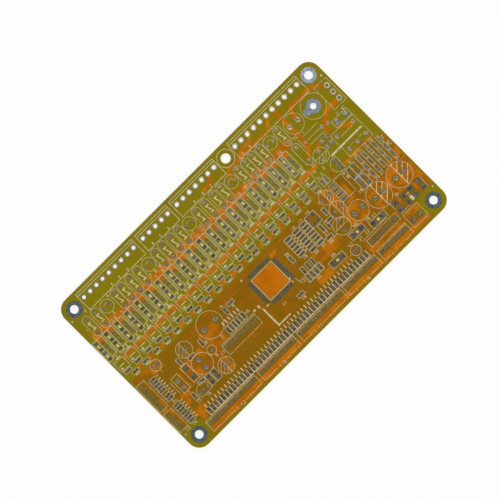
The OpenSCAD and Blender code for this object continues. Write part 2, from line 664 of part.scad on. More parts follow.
// One opening on each side of the controller takes its whole row of lands
module controller_openings() {
    l = (controller_pins - 1) * controller_pitch + controller_land_w + 2 * mask_gap;
    w = controller_land_l + 2 * mask_gap;
    translate(controller) for (s = [-1, 1]) {
        translate([s * controller_reach, 0]) square([w, l], center = true);
        translate([0, s * controller_reach]) square([l, w], center = true);
    }
}
module top_mask() {
    color(MASK) difference() {
        translate([0, 0, core_z1]) linear_extrude(copper_t + mask_t) difference() {
            board_outline();
            pin_openings();
            fiducial_shapes(fiducial_gap);
            land_shapes(all_lands, mask_gap);
            controller_openings();
        }
        foil() supply_rail_shape();
        foil() driver_rail_shape();
        foil() feed_shape();
        foil() power_shape();
        foil() logic_shape();
        foil() heat_square_shape();
        foil() edge_strip_shape();
        foil() track_shapes(concat(gate_routes, resistor_routes, chip_routes, long_routes, stub_routes),
                            track_w);
        foil() track_shapes(header_routes, header_track_w);
        foil() pin_shapes(via_pins);
    }
}
module bottom_mask() {
    color(MASK) difference() {
        linear_extrude(core_z0) difference() {
            board_outline();
            pin_openings();
        }
        low_foil() bottom_shape();
        low_foil() pin_shapes(via_pins);
    }
}

// ---- Copper ----
header_track_w = 0.45;
strip_edge = 1.5;
module track_shapes(routes, w) {
    for (r = routes) track(r, w);
}
module logic_track_shapes() {
    difference() {
        track_shapes(concat(resistor_routes, chip_routes, long_routes, stub_routes), track_w);
        pin_shapes(via_pins);
    }
}
rail_end = 48.6;
supply_rail_start = -78;
supply_rail_low = 23.05;
tooth_w = 2.7;
module supply_rail_shape() {
    difference() {
        union() {
            translate([supply_rail_start, up(supply_rail_low)])
                square([rail_end - supply_rail_start, supply_rail_w]);
            for (i = [0:channel_count - 1])
                translate([channel_x(i) + channel_pin_dx - tooth_w / 2, up(channel_pin_y[0])])
                    square([tooth_w, supply_rail_low - channel_pin_y[0] + EPS]);
        }
        pin_shapes(within(fuse_pins, left_edge, up(20), right_edge, up(27)), isolation);
        pin_shapes(within(channel_pins, left_edge, up(20), rail_end, up(21)));
    }
}
driver_rail_start = -75;
driver_rail_low = 7.6;
module driver_rail_shape() {
    translate([driver_rail_start, up(driver_rail_low)])
        square([rail_end - driver_rail_start, driver_rail_w]);
}
module feed_shape() {
    difference() {
        union() {
            for (r = heavy_routes) track([for (p = r) [p[0], up(p[1])]], heavy_w);
            for (r = feed_routes) track([for (p = r) [p[0], up(p[1])]], feed_w);
        }
        pin_shapes(concat(socket_pins(2), socket_pins(3)));
        pin_shapes(within(concat(fuse_pins, relay_pins, round_part_pins, round_link_pins), 10, up(10), 80,
                          up(36)));
        land_shapes(within(large_lands, 57, up(10), 80, up(20)));
        pin_shapes(inlet_pins);
        pin_shapes(mount_pins, isolation);
    }
}
// Pours are polygons in the lower half, cut back round every pin and land within them
module pour(corners) {
    xs = [for (c = corners) c[0]];
    ys = [for (c = corners) c[1]];
    reach = 3;
    function nearby(list) = within(list, min(xs) - reach, down(min(ys)) - reach, max(xs) + reach,
                                   down(max(ys)) + reach);
    difference() {
        polygon([for (c = corners) [c[0], down(c[1])]]);
        pin_shapes(nearby(all_pins), isolation);
        pin_shapes(nearby(wide_pins), wide_isolation);
        land_shapes(nearby(all_lands), isolation);
    }
}
power_pours = [
    [[36.2, -1.9], [44.4, -1.9], [45.4, -2.9], [45.4, -14.9], [54, -14.9], [54, -24.2], [43, -24.2],
     [40.8, -22.6], [40.8, -9], [37.8, -6], [36.2, -6]],
    [[49.2, -4.8], [50.9, -4.8], [51.6, -5.5], [51.6, -13.8], [46.4, -13.8], [46.4, -12.6],
     [49.2, -12.6]],
    [[78.4, -5], [80.2, -4.2], [80.2, -14.6], [71, -14.6], [71, -13], [76.6, -13], [78.4, -11.2]],
    [[61.8, -9.4], [63.4, -11], [63.4, -14.6], [61.8, -14.6]],
    [[54.8, -12.4], [55.9, -12.4], [55.9, -14.6], [54.8, -14.6]],
    [[57.5, -0.9], [57.5, 0.9], [63, 0.9], [63.6, 1.5], [75.4, 1.5], [76.2, 0.7], [76.2, -0.5],
     [61.6, -0.5], [61.6, -0.9]],
    [[49.2, 0.6], [50.4, 2.6], [52.6, 2.6], [52.6, -0.6], [49.2, -0.6]],
    [[54.8, -15.4], [63, -15.4], [63.6, -16], [67, -16], [67.6, -15.4], [74.4, -15.4], [75, -16],
     [80.2, -16], [80.2, -33.8], [78, -33.8], [78, -27.2], [74.6, -27.2], [74.6, -33.6], [73, -33.6],
     [73, -27.2], [65, -27.2], [65, -33.6], [63.4, -33.6], [63.4, -27.2], [54.8, -27.2],
     [54.8, -24.6], [68, -24.6], [68, -24.2], [54.8, -24.2]],
    [[17.6, -16.6], [18.6, -18.8], [31.4, -19.6], [33.2, -21.4], [33.2, -23.2], [32, -24.4],
     [18.9, -24.4]],
    [[12, -27.8], [20.4, -27.8], [20.4, -30.8], [31.4, -30.8], [31.4, -31.6], [12, -31.6]],
    [[38.6, -30.9], [40.5, -30.9], [40.5, -35.4], [58.9, -35.4], [58.9, -30.9], [59.6, -30.9],
     [59.6, -38.4], [38.6, -38.4]],
    [[60.6, -35], [68.4, -35], [68.4, -37.6], [67.6, -38.4], [60.6, -38.4]]
];
logic_pours = [
    [[-79.5, -1.5], [-63.8, -1.5], [-63.8, -6.9], [-70.1, -6.9], [-71.1, -4.5], [-79.5, -4.5]],
    [[-77.2, -5], [-75.2, -5], [-75.2, -9.4], [-77.2, -9.4]],
    [[-77.2, -16], [-75.2, -16], [-75.2, -20.2], [-77.2, -20.2]],
    [[-43.6, -8], [-33.4, -8], [-33.4, -11.4], [-34.2, -12.2], [-34.2, -18], [-41, -18],
     [-41, -22.4], [-46.6, -22.4], [-46.6, -11]],
    [[-60.4, -12.2], [-47.2, -12.2], [-47.2, -22.4], [-64, -22.4], [-64, -24.3], [-66, -24.3],
     [-66, -27.4], [-69.2, -27.4], [-69.2, -21.8], [-60.4, -21.8]],
    [[-63.1, -14.2], [-61, -14.2], [-61, -21.2], [-63.1, -21.2]],
    [[-48, -22.9], [-41.2, -22.9], [-41.2, -29.6], [-48, -29.6]],
    [[-77.2, -22.9], [-75.4, -22.9], [-75.4, -33.4], [-77.2, -33.4]],
    [[-79.6, -20.9], [-70.8, -20.9], [-70.8, -22], [-79.6, -22]],
    [[-70.2, -30.4], [-62.4, -30.4], [-63, -33.4], [-64.6, -35], [-66, -35], [-66, -37.4],
     [-68.6, -37.4], [-68.6, -34.6], [-70.2, -33]],
    [[4.6, -4.9], [9.2, -4.9], [7.4, -6.7], [4.6, -6.7]]
];
module power_shape() {
    for (c = power_pours) pour(c);
}
// Copper between neighbouring gate resistors
gate_fill_l = 2.2;
module logic_shape() {
    for (c = logic_pours) pour(c);
    reach = gate_span / 2 + gate_land[0] / 2 + isolation;
    for (r = gate_runs, i = [0:r[1] - 2])
        translate([r[0] + (i + 0.5) * channel_pitch, up(gate_y)])
            square([channel_pitch - 2 * reach, gate_fill_l], center = true);
}
module heat_square_shape() {
    translate(controller) square(controller_pour, center = true);
}
module edge_strip_shape() {
    y0 = low_edge + strip_edge;
    y1 = header_y - power_land / 2 - isolation;
    translate([-69, y0]) square([138, y1 - y0]);
}
// Underside: a track from each fuse to its socket, and a ground plane under the lower half
plane_edge = 1.2;
plane_gap = 0.45;
plane_top = down(-1.8);
plane_corner_r = 6.3;
module bottom_shape() {
    difference() {
        for (x = fuse_x) {
            gaps = [for (p = all_sockets) abs(p[0] - x)];
            nearest = min(gaps);
            pin = [for (i = [0:len(gaps) - 1]) if (gaps[i] == nearest) all_sockets[i]][0];
            bend_y = pin[1] - 2;
            if (nearest < socket_pitch)
                track(tidy([[x, up(fuse_top)], [x, bend_y - nearest], [pin[0], bend_y],
                            [pin[0], pin[1]]]), feed_w);
        }
        pin_shapes(concat(all_sockets, fuse_pins));
    }
    difference() {
        translate([left_edge + plane_edge, low_edge + plane_edge])
            square([board_l - 2 * plane_edge, plane_top - low_edge - plane_edge]);
        pin_shapes(within(concat(all_pins, via_pins), left_edge, low_edge, right_edge, plane_top + 2),
                   plane_gap);
        for (p = mount_spots) if (p[1] < 0) translate(p) {
            circle(r = plane_corner_r);
            translate([sign(p[0]) * corner_r, 0]) square([2 * corner_r, 2 * plane_corner_r], center = true);
            translate([0, -corner_r]) square([2 * plane_corner_r, 2 * corner_r], center = true);
        }
    }
}
module copper() {
    color(COPPER) foil() children();
}

// ---- Legend ----
module legend_sockets() {
    print_ink() {
        for (s = socket_rows) {
            x0 = s[0] - 2;
            x1 = s[0] + (s[1] - 1) * socket_pitch + 2;
            y1 = socket_y + 3.4;
            box_line(x0, y1 - socket_body, x1, y1);
            line_x(x0, x1, socket_y + 2.2);
        }
        translate(locate_at) ring_line(locate_ring_r);
    }
}
module legend_fuses() {
    mid = up(fuse_top - fuse_span / 2);
    print_ink() {
        for (x = fuse_x) translate([x, mid]) {
            rotate(90) stadium_line(10.8, 4.1);
            polygon([[-0.9, 2.1], [-0.3, 2.1], [0.9, -2.1], [0.3, -2.1]]);
            bar(-0.9, 1.5, 0.9, 2.1);
            bar(-0.9, -2.1, 0.9, -1.5);
        }
        translate([lone_fuse[0], up(lone_fuse[1] - fuse_span / 2)]) rotate(90) stadium_line(12, 3.9);
        for (x = round_links) translate([x, up(round_link_y)]) {
            ring_line(round_link_r);
            intersection() {
                translate([0, -0.6]) ring_line(1.9);
                translate([0, 1.4]) square([2.4, 2.4], center = true);
            }
        }
        for (i = [0:len(fuse_x) - 2]) {
            x = (fuse_x[i] + fuse_x[i + 1]) / 2;
            if (fuse_x[i + 1] - fuse_x[i] < 7 && abs(x - locate_x) > 4)
                translate([x, up(36)]) square([0.5, 1.3], center = true);
        }
    }
}
module legend_channels() {
    print_ink() for (i = [0:channel_count - 1]) translate([channel_x(i), up(0)]) {
        box_line(-1.4, 11.7, 1.4, 23.1);
        line_x(-1.4, 1.4, 17.3);
        for (y = [12.8, 23.1]) line_x(1.4, 2 * channel_pin_dx - 1.4, y);
        line_y(2 * channel_pin_dx - 1.4, 12.8 - ink_w / 2, 23.1 + ink_w / 2);
        for (k = [0, 2]) translate([0, (channel_land_y[k] + channel_land_y[k + 1]) / 2]) diode_mark();
        translate([channel_pin_dx, 11.7]) number(digits_of(i + 1), 1.2);
        bar(channel_pin_dx - 1.3, 10.2, channel_pin_dx + 1.3, 10.7);
    }
}
module legend_drivers() {
    print_ink() {
        for (i = [0:channel_count - 1]) translate([channel_x(i), up(0)]) {
            box_line(-0.7, 4.5, 4.6, 9.7);
            translate([0.6, 5.5]) circle(d = 1.2);
            bar(0.2, 6.8, 3.4, 7.2);
            translate([1.9, 3.3]) chip_line([0, 0, 0]);
        }
        for (x = gate_x) translate([x, up(gate_y)]) {
            stadium_line(3.8, 1.7);
            bar(-1.4, -1.75, 1.4, -1.25);
        }
    }
}
module legend_logic() {
    print_ink() {
        for (p = round_parts) if (p[0] < 30 && p[1] < 0) round_part_print(p);
        for (c = lower_chips) if (c[0] < 9 && c[0] > -70) translate([c[0], down(c[1])]) chip_line(c);
        for (h = side_headers)
            box_line(left_edge + 0.45, down(h[0] - (h[1] - 1) * header_pitch - 1.7),
                     side_header_x + 3, down(h[0] + 1.7));
        // ladders round the two resistor arrays
        for (a = arrays) {
            for (k = [0:a[1]])
                line_x(array_x - array_half_w, array_x + array_half_w, down(a[0] - (k - 0.5) * a[2]));
            for (s = [-1, 1])
                line_y(array_x + s * array_half_w, down(a[0] - (a[1] - 0.5) * a[2]), down(a[0] + a[2] / 2));
            for (k = [0:a[1] - 1])
                bar(array_x + 2.3, down(a[0] - k * a[2] - 0.25), array_x + 3.5, down(a[0] - k * a[2] + 0.25));
        }
        box_line(service_header[0] - 1.7, down(-24.4),
                 service_header[0] + (service_header[2] - 1) * header_pitch + 1.6, down(-18.6));
        line_x(service_header[0] - 1.7, service_header[0] + (service_header[2] - 1) * header_pitch + 1.6,
               down(-19.3));
        for (k = [0:5]) bar(-32.4 + 1.86 * k, down(-13.3), -31.8 + 1.86 * k, down(-11.3));
        box_line(-66.6, down(-22), -62.6, down(-13.4));
        line_y(-67.9, down(-21), down(-14.4));
        box_line(-60, down(-21.6), -56.4, down(-12.8));
        // flat-sided outline of a three-legged transistor
        translate([-59, down(-27.4)]) intersection() {
            ring_line(3.6);
            translate([0, 1.2]) square([8, 5.6], center = true);
        }
        line_x(-62.5, -55.5, down(-29.1));
        for (x = [-53.6, -50.2]) box_line(x - 1.4, down(-28.8), x + 1.4, down(-23.2));
        translate([-43.9, down(-16.9)]) ring_line(2.2);
        // corner mark beside the controller
        bar(-14.8, down(-30.9), -14, down(-20));
        bar(-14, down(-30.9), -7, down(-30.2));
        translate(controller) {
            for (grow = [0, ink_w / 2]) box_line(-6.2 - grow, -6.2 - grow, 6.2 + grow, 6.2 + grow);
            translate([-9.4, 9.4]) circle(d = 0.9);
        }
        line_y(5.9, down(-23), down(-20.6));
        line_x(5.8, 8.6, down(-23));
        bar(-18.2, down(-18.6), -17, down(-17.6));
        bar(-15.6, down(-19), -14.6, down(-17.5));
        bar(-12.4, down(-20.9), -11, down(-20.3));
        translate([3.9, down(-19.1)]) square([0.8, 0.8], center = true);
    }
}
module legend_power() {
    print_ink() {
        for (p = round_parts) if (p[0] > 30) round_part_print(p);
        for (c = lower_chips) if (c[0] > 9) translate([c[0], down(c[1])]) chip_line(c);
        for (c = upper_chips) if (c[0] > 45) translate([c[0], up(c[1])]) chip_line(c);
        for (k = [0:5]) bar(17.8, down(-6.25 - 1.82 * k), 18.9, down(-5.75 - 1.82 * k));
        box_line(9, down(-26.9), 18.6, down(-23));
        box_line(20.9, down(-30.4), 29.5, down(-26.7));
        box_line(36.3, down(-27.4), 44.6, down(-23.9));
        box_line(46.7, down(-30.1), 55.7, down(-26.7));
        place([[25.1, down(-28.5)], [40.5, down(-25.7)], [51.3, down(-28.4)]]) circle(d = 1.4);
        translate([39.6, down(-28.9)]) number([2, 1], 1.3);
        translate([43.6, down(-28.9)]) number([2, 2], 1.3);
        line_y(59.8, down(-31), down(-26.8));
        line_y(77.9, down(-34), down(-27.5));
        line_x(60, 66, down(-34));
        bar(68.2, down(-33.5), 69.7, down(-31.2));
        box_line(27.6, down(-10.7), 33.2, down(-4.6));
        box_line(49.2, down(-11.9), 53.6, down(-1.7));
        for (x = [57.3, 60.2], y = [-5.1, -11.5]) box_line(x - 1.25, down(y - 3), x + 1.25, down(y + 3.1));
        line_x(39, 54.4, down(-30.5));
        line_x(31, 33.2, down(-19.9));
        // relay, its contact bar, the box of the coil's lands and the long resistor beside it
        box_line(62.4, up(0.5), 76.6, up(13.4));
        bar(56.4, up(6.4), 75.6, up(7.3));
        line_x(65.6, 73.2, up(9.9));
        for (x = [65.9, 71]) line_x(x, x + 2.5, up(4.2));
        box_line(67.3, up(13.9), 76.6, up(17.6));
        for (y = [17.1, 22.1]) line_x(53.6, 62.4, up(y));
        line_x(53.4, 61.4, up(19.5));
        line_y(50.8, up(17.4), up(22.6));
        // inlet and earth
        box_line(right_edge - 8.6, up(20.6), right_edge - 1.3, up(34));
        translate(earth_at) ring_line(6);
        // flat-sided outline of a three-legged transistor
        translate([56, up(2.1)]) intersection() {
            ring_line(3.55);
            translate([-1.4, 0]) square([5, 8], center = true);
        }
        line_y(57.5, up(-1), up(6.1));
    }
}
marked_resistors = 45;
header_mark_x = [-52.2, -25.6, -2.8, 28.2, 46.4];
ladder_w = 0.35;
module legend_headers() {
    print_ink() {
        for (i = [0:len(header_rows) - 1]) {
            h = header_rows[i];
            x0 = h[0] - 1.6;
            x1 = h[0] + (h[1] - 1) * header_pitch + 1.5;
            foot = header_y - 3.8;
            line_x(x0, x1, foot + header_body - 0.7);
            // The foot line breaks off for the numbers of the first and the last pin
            difference() {
                box_line(x0, foot, x1, foot + header_body);
                translate([header_mark_x[i], foot]) square([6.2, 1], center = true);
            }
            translate([header_mark_x[i], foot - 0.3]) number(concat([1, DASH], digits_of(h[1])), 1.4);
        }
        box_line(header_rows[4][0] - 1.6, header_y + upper_row_gap - 1.8,
                 header_rows[4][0] + 6 * header_pitch + 1.5, header_y + upper_row_gap + 2);
        box_line(power_header[0] - 2.3, header_y - 2.9, power_header[0] + socket_pitch + 2.4,
                 header_y + 4.9);
        // ladder of the upright resistors, with a number mark over each
        y0 = resistor_foot_y - 0.4;
        bar(header_resistor_x(-0.5), y0 - ladder_w / 2, header_resistor_x(header_resistors - 0.5),
            y0 + ladder_w / 2);
        for (i = [0:header_resistors])
            bar(header_resistor_x(i - 0.5) - ladder_w / 2, y0, header_resistor_x(i - 0.5) + ladder_w / 2,
                resistor_head_y + 0.3);
        for (i = [0:header_resistors - 1])
            if (i < marked_resistors)
                bar(header_resistor_x(i) - 0.25, resistor_head_y + 0.5, header_resistor_x(i) + 0.25,
                    resistor_head_y + 2.4);
    }
}

// ---- Bare marks and the earth land ----
module fiducials() {
    color(BRIGHT_TIN) translate([0, 0, core_z1]) linear_extrude(copper_t + tin_t) fiducial_shapes();
}
// Earth land: a plated hole in a keyhole-shaped land on both faces
module earth_land() {
    color(BRIGHT_TIN) {
        difference() {
            union() {
                translate([0, 0, core_z1]) linear_extrude(copper_t + tin_t) earth_shape();
                translate([0, 0, mask_t - tin_t]) linear_extrude(copper_t + tin_t) earth_shape();
                translate([earth_at[0], earth_at[1], core_z0])
                    cylinder(h = laminate_t, d = earth_bore + 2 * plating_t);
            }
            translate([earth_at[0], earth_at[1], -1]) cylinder(h = laminate_t + 3, d = earth_bore);
        }
    }
}

laminate();
bottom_mask();
color(COPPER) low_foil() bottom_shape();  // bottom_copper
copper() supply_rail_shape();  // supply_rail
copper() driver_rail_shape();  // driver_rail
copper() feed_shape();  // socket_feed_tracks
copper() power_shape();  // power_pours
copper() logic_shape();  // logic_pours
copper() heat_square_shape();  // controller_heat_square
copper() edge_strip_shape();  // edge_return_strip
copper() track_shapes(gate_routes, track_w);  // gate_tracks
copper() logic_track_shapes();  // logic_tracks
copper() track_shapes(header_routes, header_track_w);  // header_tracks
barrels(socket_pins(0), BRIGHT_TIN);  // socket_1_barrels
barrels(socket_pins(1), BRIGHT_TIN);  // socket_2_barrels
barrels(socket_pins(2), BRIGHT_TIN);  // socket_3_barrels
barrels(socket_pins(3), BRIGHT_TIN);  // socket_4_barrels
barrels(lower_header_pins);  // lower_header_barrels
barrels(side_header_pins);  // side_header_barrels
barrels(service_header_pins);  // service_header_barrels
barrels(fuse_pins);  // fuse_barrels
barrels(channel_pins);  // channel_barrels
barrels(concat(round_part_pins, round_link_pins, test_pins));  // round_part_barrels
barrels(relay_pins);  // relay_barrels
barrels(inlet_pins, BRIGHT_TIN);  // inlet_barrels
barrels(mount_pins, BRIGHT_TIN);  // mounting_hole_lands
earth_land();
fiducials();
barrels(via_pins, COPPER, coat = 0);  // vias
tinned(channel_lands);
tinned(gate_resistor_lands);
tinned(controller_lands);
tinned(header_resistor_lands);
tinned(concat(lower_chip_lands, upper_chip_lands));  // chip_lands
tinned(large_lands);
legend_sockets();
legend_fuses();
legend_channels();
legend_drivers();
legend_logic();
legend_power();
legend_headers();
top_mask();
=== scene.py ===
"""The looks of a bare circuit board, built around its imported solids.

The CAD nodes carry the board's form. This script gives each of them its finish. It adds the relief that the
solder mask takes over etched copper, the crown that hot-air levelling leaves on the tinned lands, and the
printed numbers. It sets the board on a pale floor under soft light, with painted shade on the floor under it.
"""

import json
import logging
import math
from dataclasses import dataclass, field
from enum import Enum
from typing import Iterable, Optional, Sequence, Union

import bpy
import numpy as np
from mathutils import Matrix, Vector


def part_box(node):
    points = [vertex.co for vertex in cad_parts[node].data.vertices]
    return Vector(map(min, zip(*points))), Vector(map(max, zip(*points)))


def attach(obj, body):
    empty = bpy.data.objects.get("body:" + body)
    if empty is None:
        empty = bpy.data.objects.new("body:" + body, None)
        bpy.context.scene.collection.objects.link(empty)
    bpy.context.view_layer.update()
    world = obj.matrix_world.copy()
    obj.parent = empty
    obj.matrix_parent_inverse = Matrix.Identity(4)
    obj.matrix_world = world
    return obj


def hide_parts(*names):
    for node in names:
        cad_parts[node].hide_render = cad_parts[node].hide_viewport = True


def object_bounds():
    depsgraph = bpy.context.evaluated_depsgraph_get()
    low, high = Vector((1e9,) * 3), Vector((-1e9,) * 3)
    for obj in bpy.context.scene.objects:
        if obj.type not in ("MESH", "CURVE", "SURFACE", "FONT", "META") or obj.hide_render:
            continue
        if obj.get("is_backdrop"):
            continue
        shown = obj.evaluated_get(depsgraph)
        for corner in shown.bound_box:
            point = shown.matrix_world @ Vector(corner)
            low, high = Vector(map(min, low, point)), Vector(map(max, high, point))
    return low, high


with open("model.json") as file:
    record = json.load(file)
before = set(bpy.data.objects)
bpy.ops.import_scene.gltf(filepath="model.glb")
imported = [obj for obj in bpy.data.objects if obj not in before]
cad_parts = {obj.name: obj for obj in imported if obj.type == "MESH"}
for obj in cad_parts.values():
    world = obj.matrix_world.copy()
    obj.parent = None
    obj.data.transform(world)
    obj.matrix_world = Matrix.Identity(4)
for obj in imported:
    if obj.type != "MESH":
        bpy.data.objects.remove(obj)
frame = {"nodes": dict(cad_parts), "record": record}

MM = 0.001
WELD = 0.0004 * MM  # points nearer than this are one
SAME_LEVEL = 0.002 * MM  # points nearer to a level than this lie on it
TINY = 1e-12  # stands in for a length of nothing, where one divides by it
BODY = "root"
LOG = logging.getLogger("board")

Colour = tuple[int, int, int]
Socket = bpy.types.NodeSocket
Source = Union[Socket, float, Sequence[float]]
Form = tuple[np.ndarray, list[np.ndarray]]


class Slot(Enum):
    """The record's material slots."""

    LAMINATE = "glass_fibre"
    MASK = "solder_mask"
    COPPER = "copper_foil"
    TIN = "tin"
    BRIGHT_TIN = "bright_tin"
    INK = "legend_ink"


class Face(Enum):
    """A face of the board: the value is the sign of its outward normal along Z."""

    TOP = 1
    UNDER = -1


# ---------------------------------------------------------------- colours and shader wiring


def linear(red: float, green: float, blue: float) -> tuple[float, float, float, float]:
    """Turns display colour values of 0 to 255 into the linear colour that a shader takes.

    Args:
        red: Red, 0 to 255.
        green: Green, 0 to 255.
        blue: Blue, 0 to 255.

    Returns:
        The linear red, green and blue, and an alpha of 1.
    """
    share = np.array([red, green, blue]) / 255.0
    low = share / 12.92
    high = ((share + 0.055) / 1.055) ** 2.4
    return (*np.where(share <= 0.04045, low, high).tolist(), 1.0)


class Shader:
    """Wires one node material around a Principled shader."""

    def __init__(self, name: str) -> None:
        """Makes an empty material.

        Args:
            name: The material's name.
        """
        self.material = bpy.data.materials.new(name)
        self.material.use_nodes = True
        self.tree = self.material.node_tree
        self.surface = self.tree.nodes["Principled BSDF"]
        self.place = self.node("TexCoord", {}, "Object")

    def feed(self, socket: Socket, source: Source) -> None:
        """Links an input socket to an output socket, or gives it a plain value.

        Args:
            socket: The input socket.
            source: The output socket, or the value.
        """
        if isinstance(source, Socket):
            self.tree.links.new(source, socket)
        else:
            socket.default_value = source

    def node(self, kind: str, sources: dict[Union[int, str], Source], output: Union[int, str] = 0,
             **settings: object) -> Socket:
        """Adds a node.

        Args:
            kind: The node's type name, without the ShaderNode that it starts with.
            sources: What each of its inputs is fed, by number or name.
            output: The output to return, by number or name.
            **settings: Values for the node's own properties.

        Returns:
            The output's socket.
        """
        made = self.tree.nodes.new(f"ShaderNode{kind}")
        for key, value in settings.items():
            setattr(made, key, value)
        for key, source in sources.items():
            self.feed(made.inputs[key], source)
        return made.outputs[output]

    def axes(self) -> Sequence[Socket]:
        """Splits the place on the object into its X, its Y and its Z."""
        return self.node("SeparateXYZ", {0: self.place}).node.outputs[:]

    def maths(self, operation: str, first: Source, second: Source = 0.0, third: Source = 0.0) -> Socket:
        """Adds a Math node with up to three operands, each a socket or a number."""
        return self.node("Math", {0: first, 1: second, 2: third}, operation=operation)

    def ramp(self, value: Source, low: float, high: float, out_low: float = 0.0, out_high: float = 1.0,
             smooth: bool = True) -> Socket:
        """Maps a value from low..high to out_low..out_high, held at both ends, and eased there if smooth."""
        return self.node("MapRange", {0: value, 1: low, 2: high, 3: out_low, 4: out_high}, "Result",
                         interpolation_type="SMOOTHSTEP" if smooth else "LINEAR")

    def noise(self, pitch: float, detail: float = 2.0, roughness: float = 0.5,
              stretch: tuple[float, float, float] = (1.0, 1.0, 1.0)) -> Socket:
        """Adds a noise of a given grain.

        Args:
            pitch: The size of the grain in metres.
            detail: The number of finer octaves.
            roughness: The weight of the finer octaves.
            stretch: How much finer the grain runs along each axis.

        Returns:
            The noise value's socket, about 0.5 on average.
        """
        spread = self.node("Mapping", {"Vector": self.place, "Scale": stretch})
        return self.node("TexNoise", {"Vector": spread, "Scale": 1.0 / pitch, "Detail": detail,
                                      "Roughness": roughness}, "Fac")

    def patches(self, pitch: float, low: float = 0.0, high: float = 1.0, spread: float = 0.2,
                **grain: float) -> Socket:
        """Adds a noise eased from low to high, over the values that lie within a spread of 0.5."""
        return self.ramp(self.noise(pitch, **grain), 0.5 - spread, 0.5 + spread, low, high)

    def weave(self, pitch: float) -> Socket:
        """Adds a weave with threads a pitch apart: a sine along X times a sine along Y, from -1 to 1."""
        return self.maths("MULTIPLY", *(self.maths("SINE", self.maths("MULTIPLY", axis, math.tau / pitch))
                                        for axis in self.axes()[:2]))

    def mix(self, share: Source, first: Source, second: Source) -> Socket:
        """Blends two colours: a share of 0 gives the first, and of 1 the second."""
        return self.node("Mix", {"Factor": share, 6: first, 7: second}, 2, data_type="RGBA")

    def tint(self, colour: Source, strength: Source) -> Socket:
        """Multiplies a colour by a value."""
        colour = colour if isinstance(colour, Socket) else colour[:3]
        return self.node("VectorMath", {0: colour, "Scale": strength}, operation="SCALE")

    def relief(self, height: Socket, depth: float, strength: float = 1.0) -> None:
        """Gives the surface a bump from heights of 0 to 1, whose 1 stands for a depth in metres."""
        normal = self.node("Bump", {"Strength": strength, "Distance": depth, "Height": height})
        self.feed(self.surface.inputs["Normal"], normal)

    def finish(self, **values: Source) -> bpy.types.Material:
        """Sets the surface's inputs.

        Args:
            **values: The sources of the inputs, which are named with underscores for spaces.

        Returns:
            The material.
        """
        for name, source in values.items():
            self.feed(self.surface.inputs[name.replace("_", " ")], source)
        return self.material


# ---------------------------------------------------------------- finishes

LACQUER_GLOSS = (0.22, 0.32)
LACQUER_SHINE = 0.12
MATT = {"Roughness": 0.62, "Specular_IOR_Level": 0.3}


@dataclass(frozen=True)
class Finish:
    """A surface finish.

    Attributes:
        name: Its material's name.
    """

    name: str

    def wire(self, shader: Shader) -> dict[str, Source]:
        """Wires the finish, and gives the surface's inputs by name."""
        raise NotImplementedError

    def material(self) -> bpy.types.Material:
        """Makes the finish's material."""
        shader = Shader(self.name)
        return shader.finish(**self.wire(shader))


@dataclass(frozen=True)
class PlaneOutline:
    """The copper plane on the underside, as it shows through the laminate.

    Attributes:
        middle: X and Y of its middle.
        half: Half its size along X and Y.
        corner: X and Y of the mounting hole in its corner, for X above 0.
        corner_radius: How far it stays from that hole.
        blur: How far the laminate blurs its edge.
    """

    middle: tuple[float, float]
    half: tuple[float, float]
    corner: tuple[float, float]
    corner_radius: float = 6.3 * MM
    blur: float = 1.8 * MM

    def share(self, shader: Shader) -> Socket:
        """Wires the share of the plane's colour at a point: 1 well inside the outline, 0 outside.

        Args:
            shader: The material's shader.

        Returns:
            The share's socket.
        """
        x, y, _ = shader.axes()
        inside = [shader.ramp(shader.maths("ABSOLUTE", shader.maths("SUBTRACT", axis, middle)),
                              half - self.blur / 2, half + self.blur / 2, 1.0, 0.0)
                  for axis, middle, half in zip((x, y), self.middle, self.half)]
        offsets = (shader.maths("SUBTRACT", shader.maths("ABSOLUTE", x), self.corner[0]),
                   shader.maths("SUBTRACT", y, self.corner[1]))
        squares = [shader.maths("POWER", offset, 2.0) for offset in offsets]
        distance = shader.maths("SQRT", shader.maths("ADD", *squares))
        clear = shader.ramp(distance, self.corner_radius, self.corner_radius + self.blur)
        return shader.maths("MULTIPLY", shader.maths("MULTIPLY", *inside), clear)


@dataclass(frozen=True)
class SolderMask(Finish):
    """Glossy olive lacquer over bare laminate.

    Attributes:
        bare: Its colour where both faces are bare laminate.
        over_plane: Its colour where the plane on the other face shows through.
        plane: The plane's outline, or None where the plane isn't behind the laminate.
    """

    bare: Colour = (131, 117, 3)
    over_plane: Colour = (134, 95, 1)
    plane: Optional[PlaneOutline] = None

    def wire(self, shader: Shader) -> dict[str, Source]:
        """Wires the lacquer: blotches, fine grain and the weave of the glass under it.

        Args:
            shader: The material's shader.

        Returns:
            The surface's inputs by name.
        """
        blotch = shader.patches(22 * MM, 0.95, 1.05, detail=3.0)
        grain = shader.patches(0.35 * MM, 0.96, 1.04)
        weave = shader.weave(1.1 * MM)
        cloth = shader.ramp(weave, -1.0, 1.0, 0.975, 1.025, smooth=False)
        tone = shader.maths("MULTIPLY", shader.maths("MULTIPLY", blotch, grain), cloth)
        colour: Source = linear(*self.bare)
        if self.plane is not None:
            colour = shader.mix(self.plane.share(shader), colour, linear(*self.over_plane))
        shader.relief(shader.maths("ADD", shader.maths("MULTIPLY", weave, 0.4), shader.noise(0.9 * MM)),
                      0.004 * MM, 0.5)
        return dict(
            Base_Color=shader.tint(colour, tone),
            Roughness=shader.patches(6 * MM, *LACQUER_GLOSS),
            Specular_IOR_Level=LACQUER_SHINE,
        )


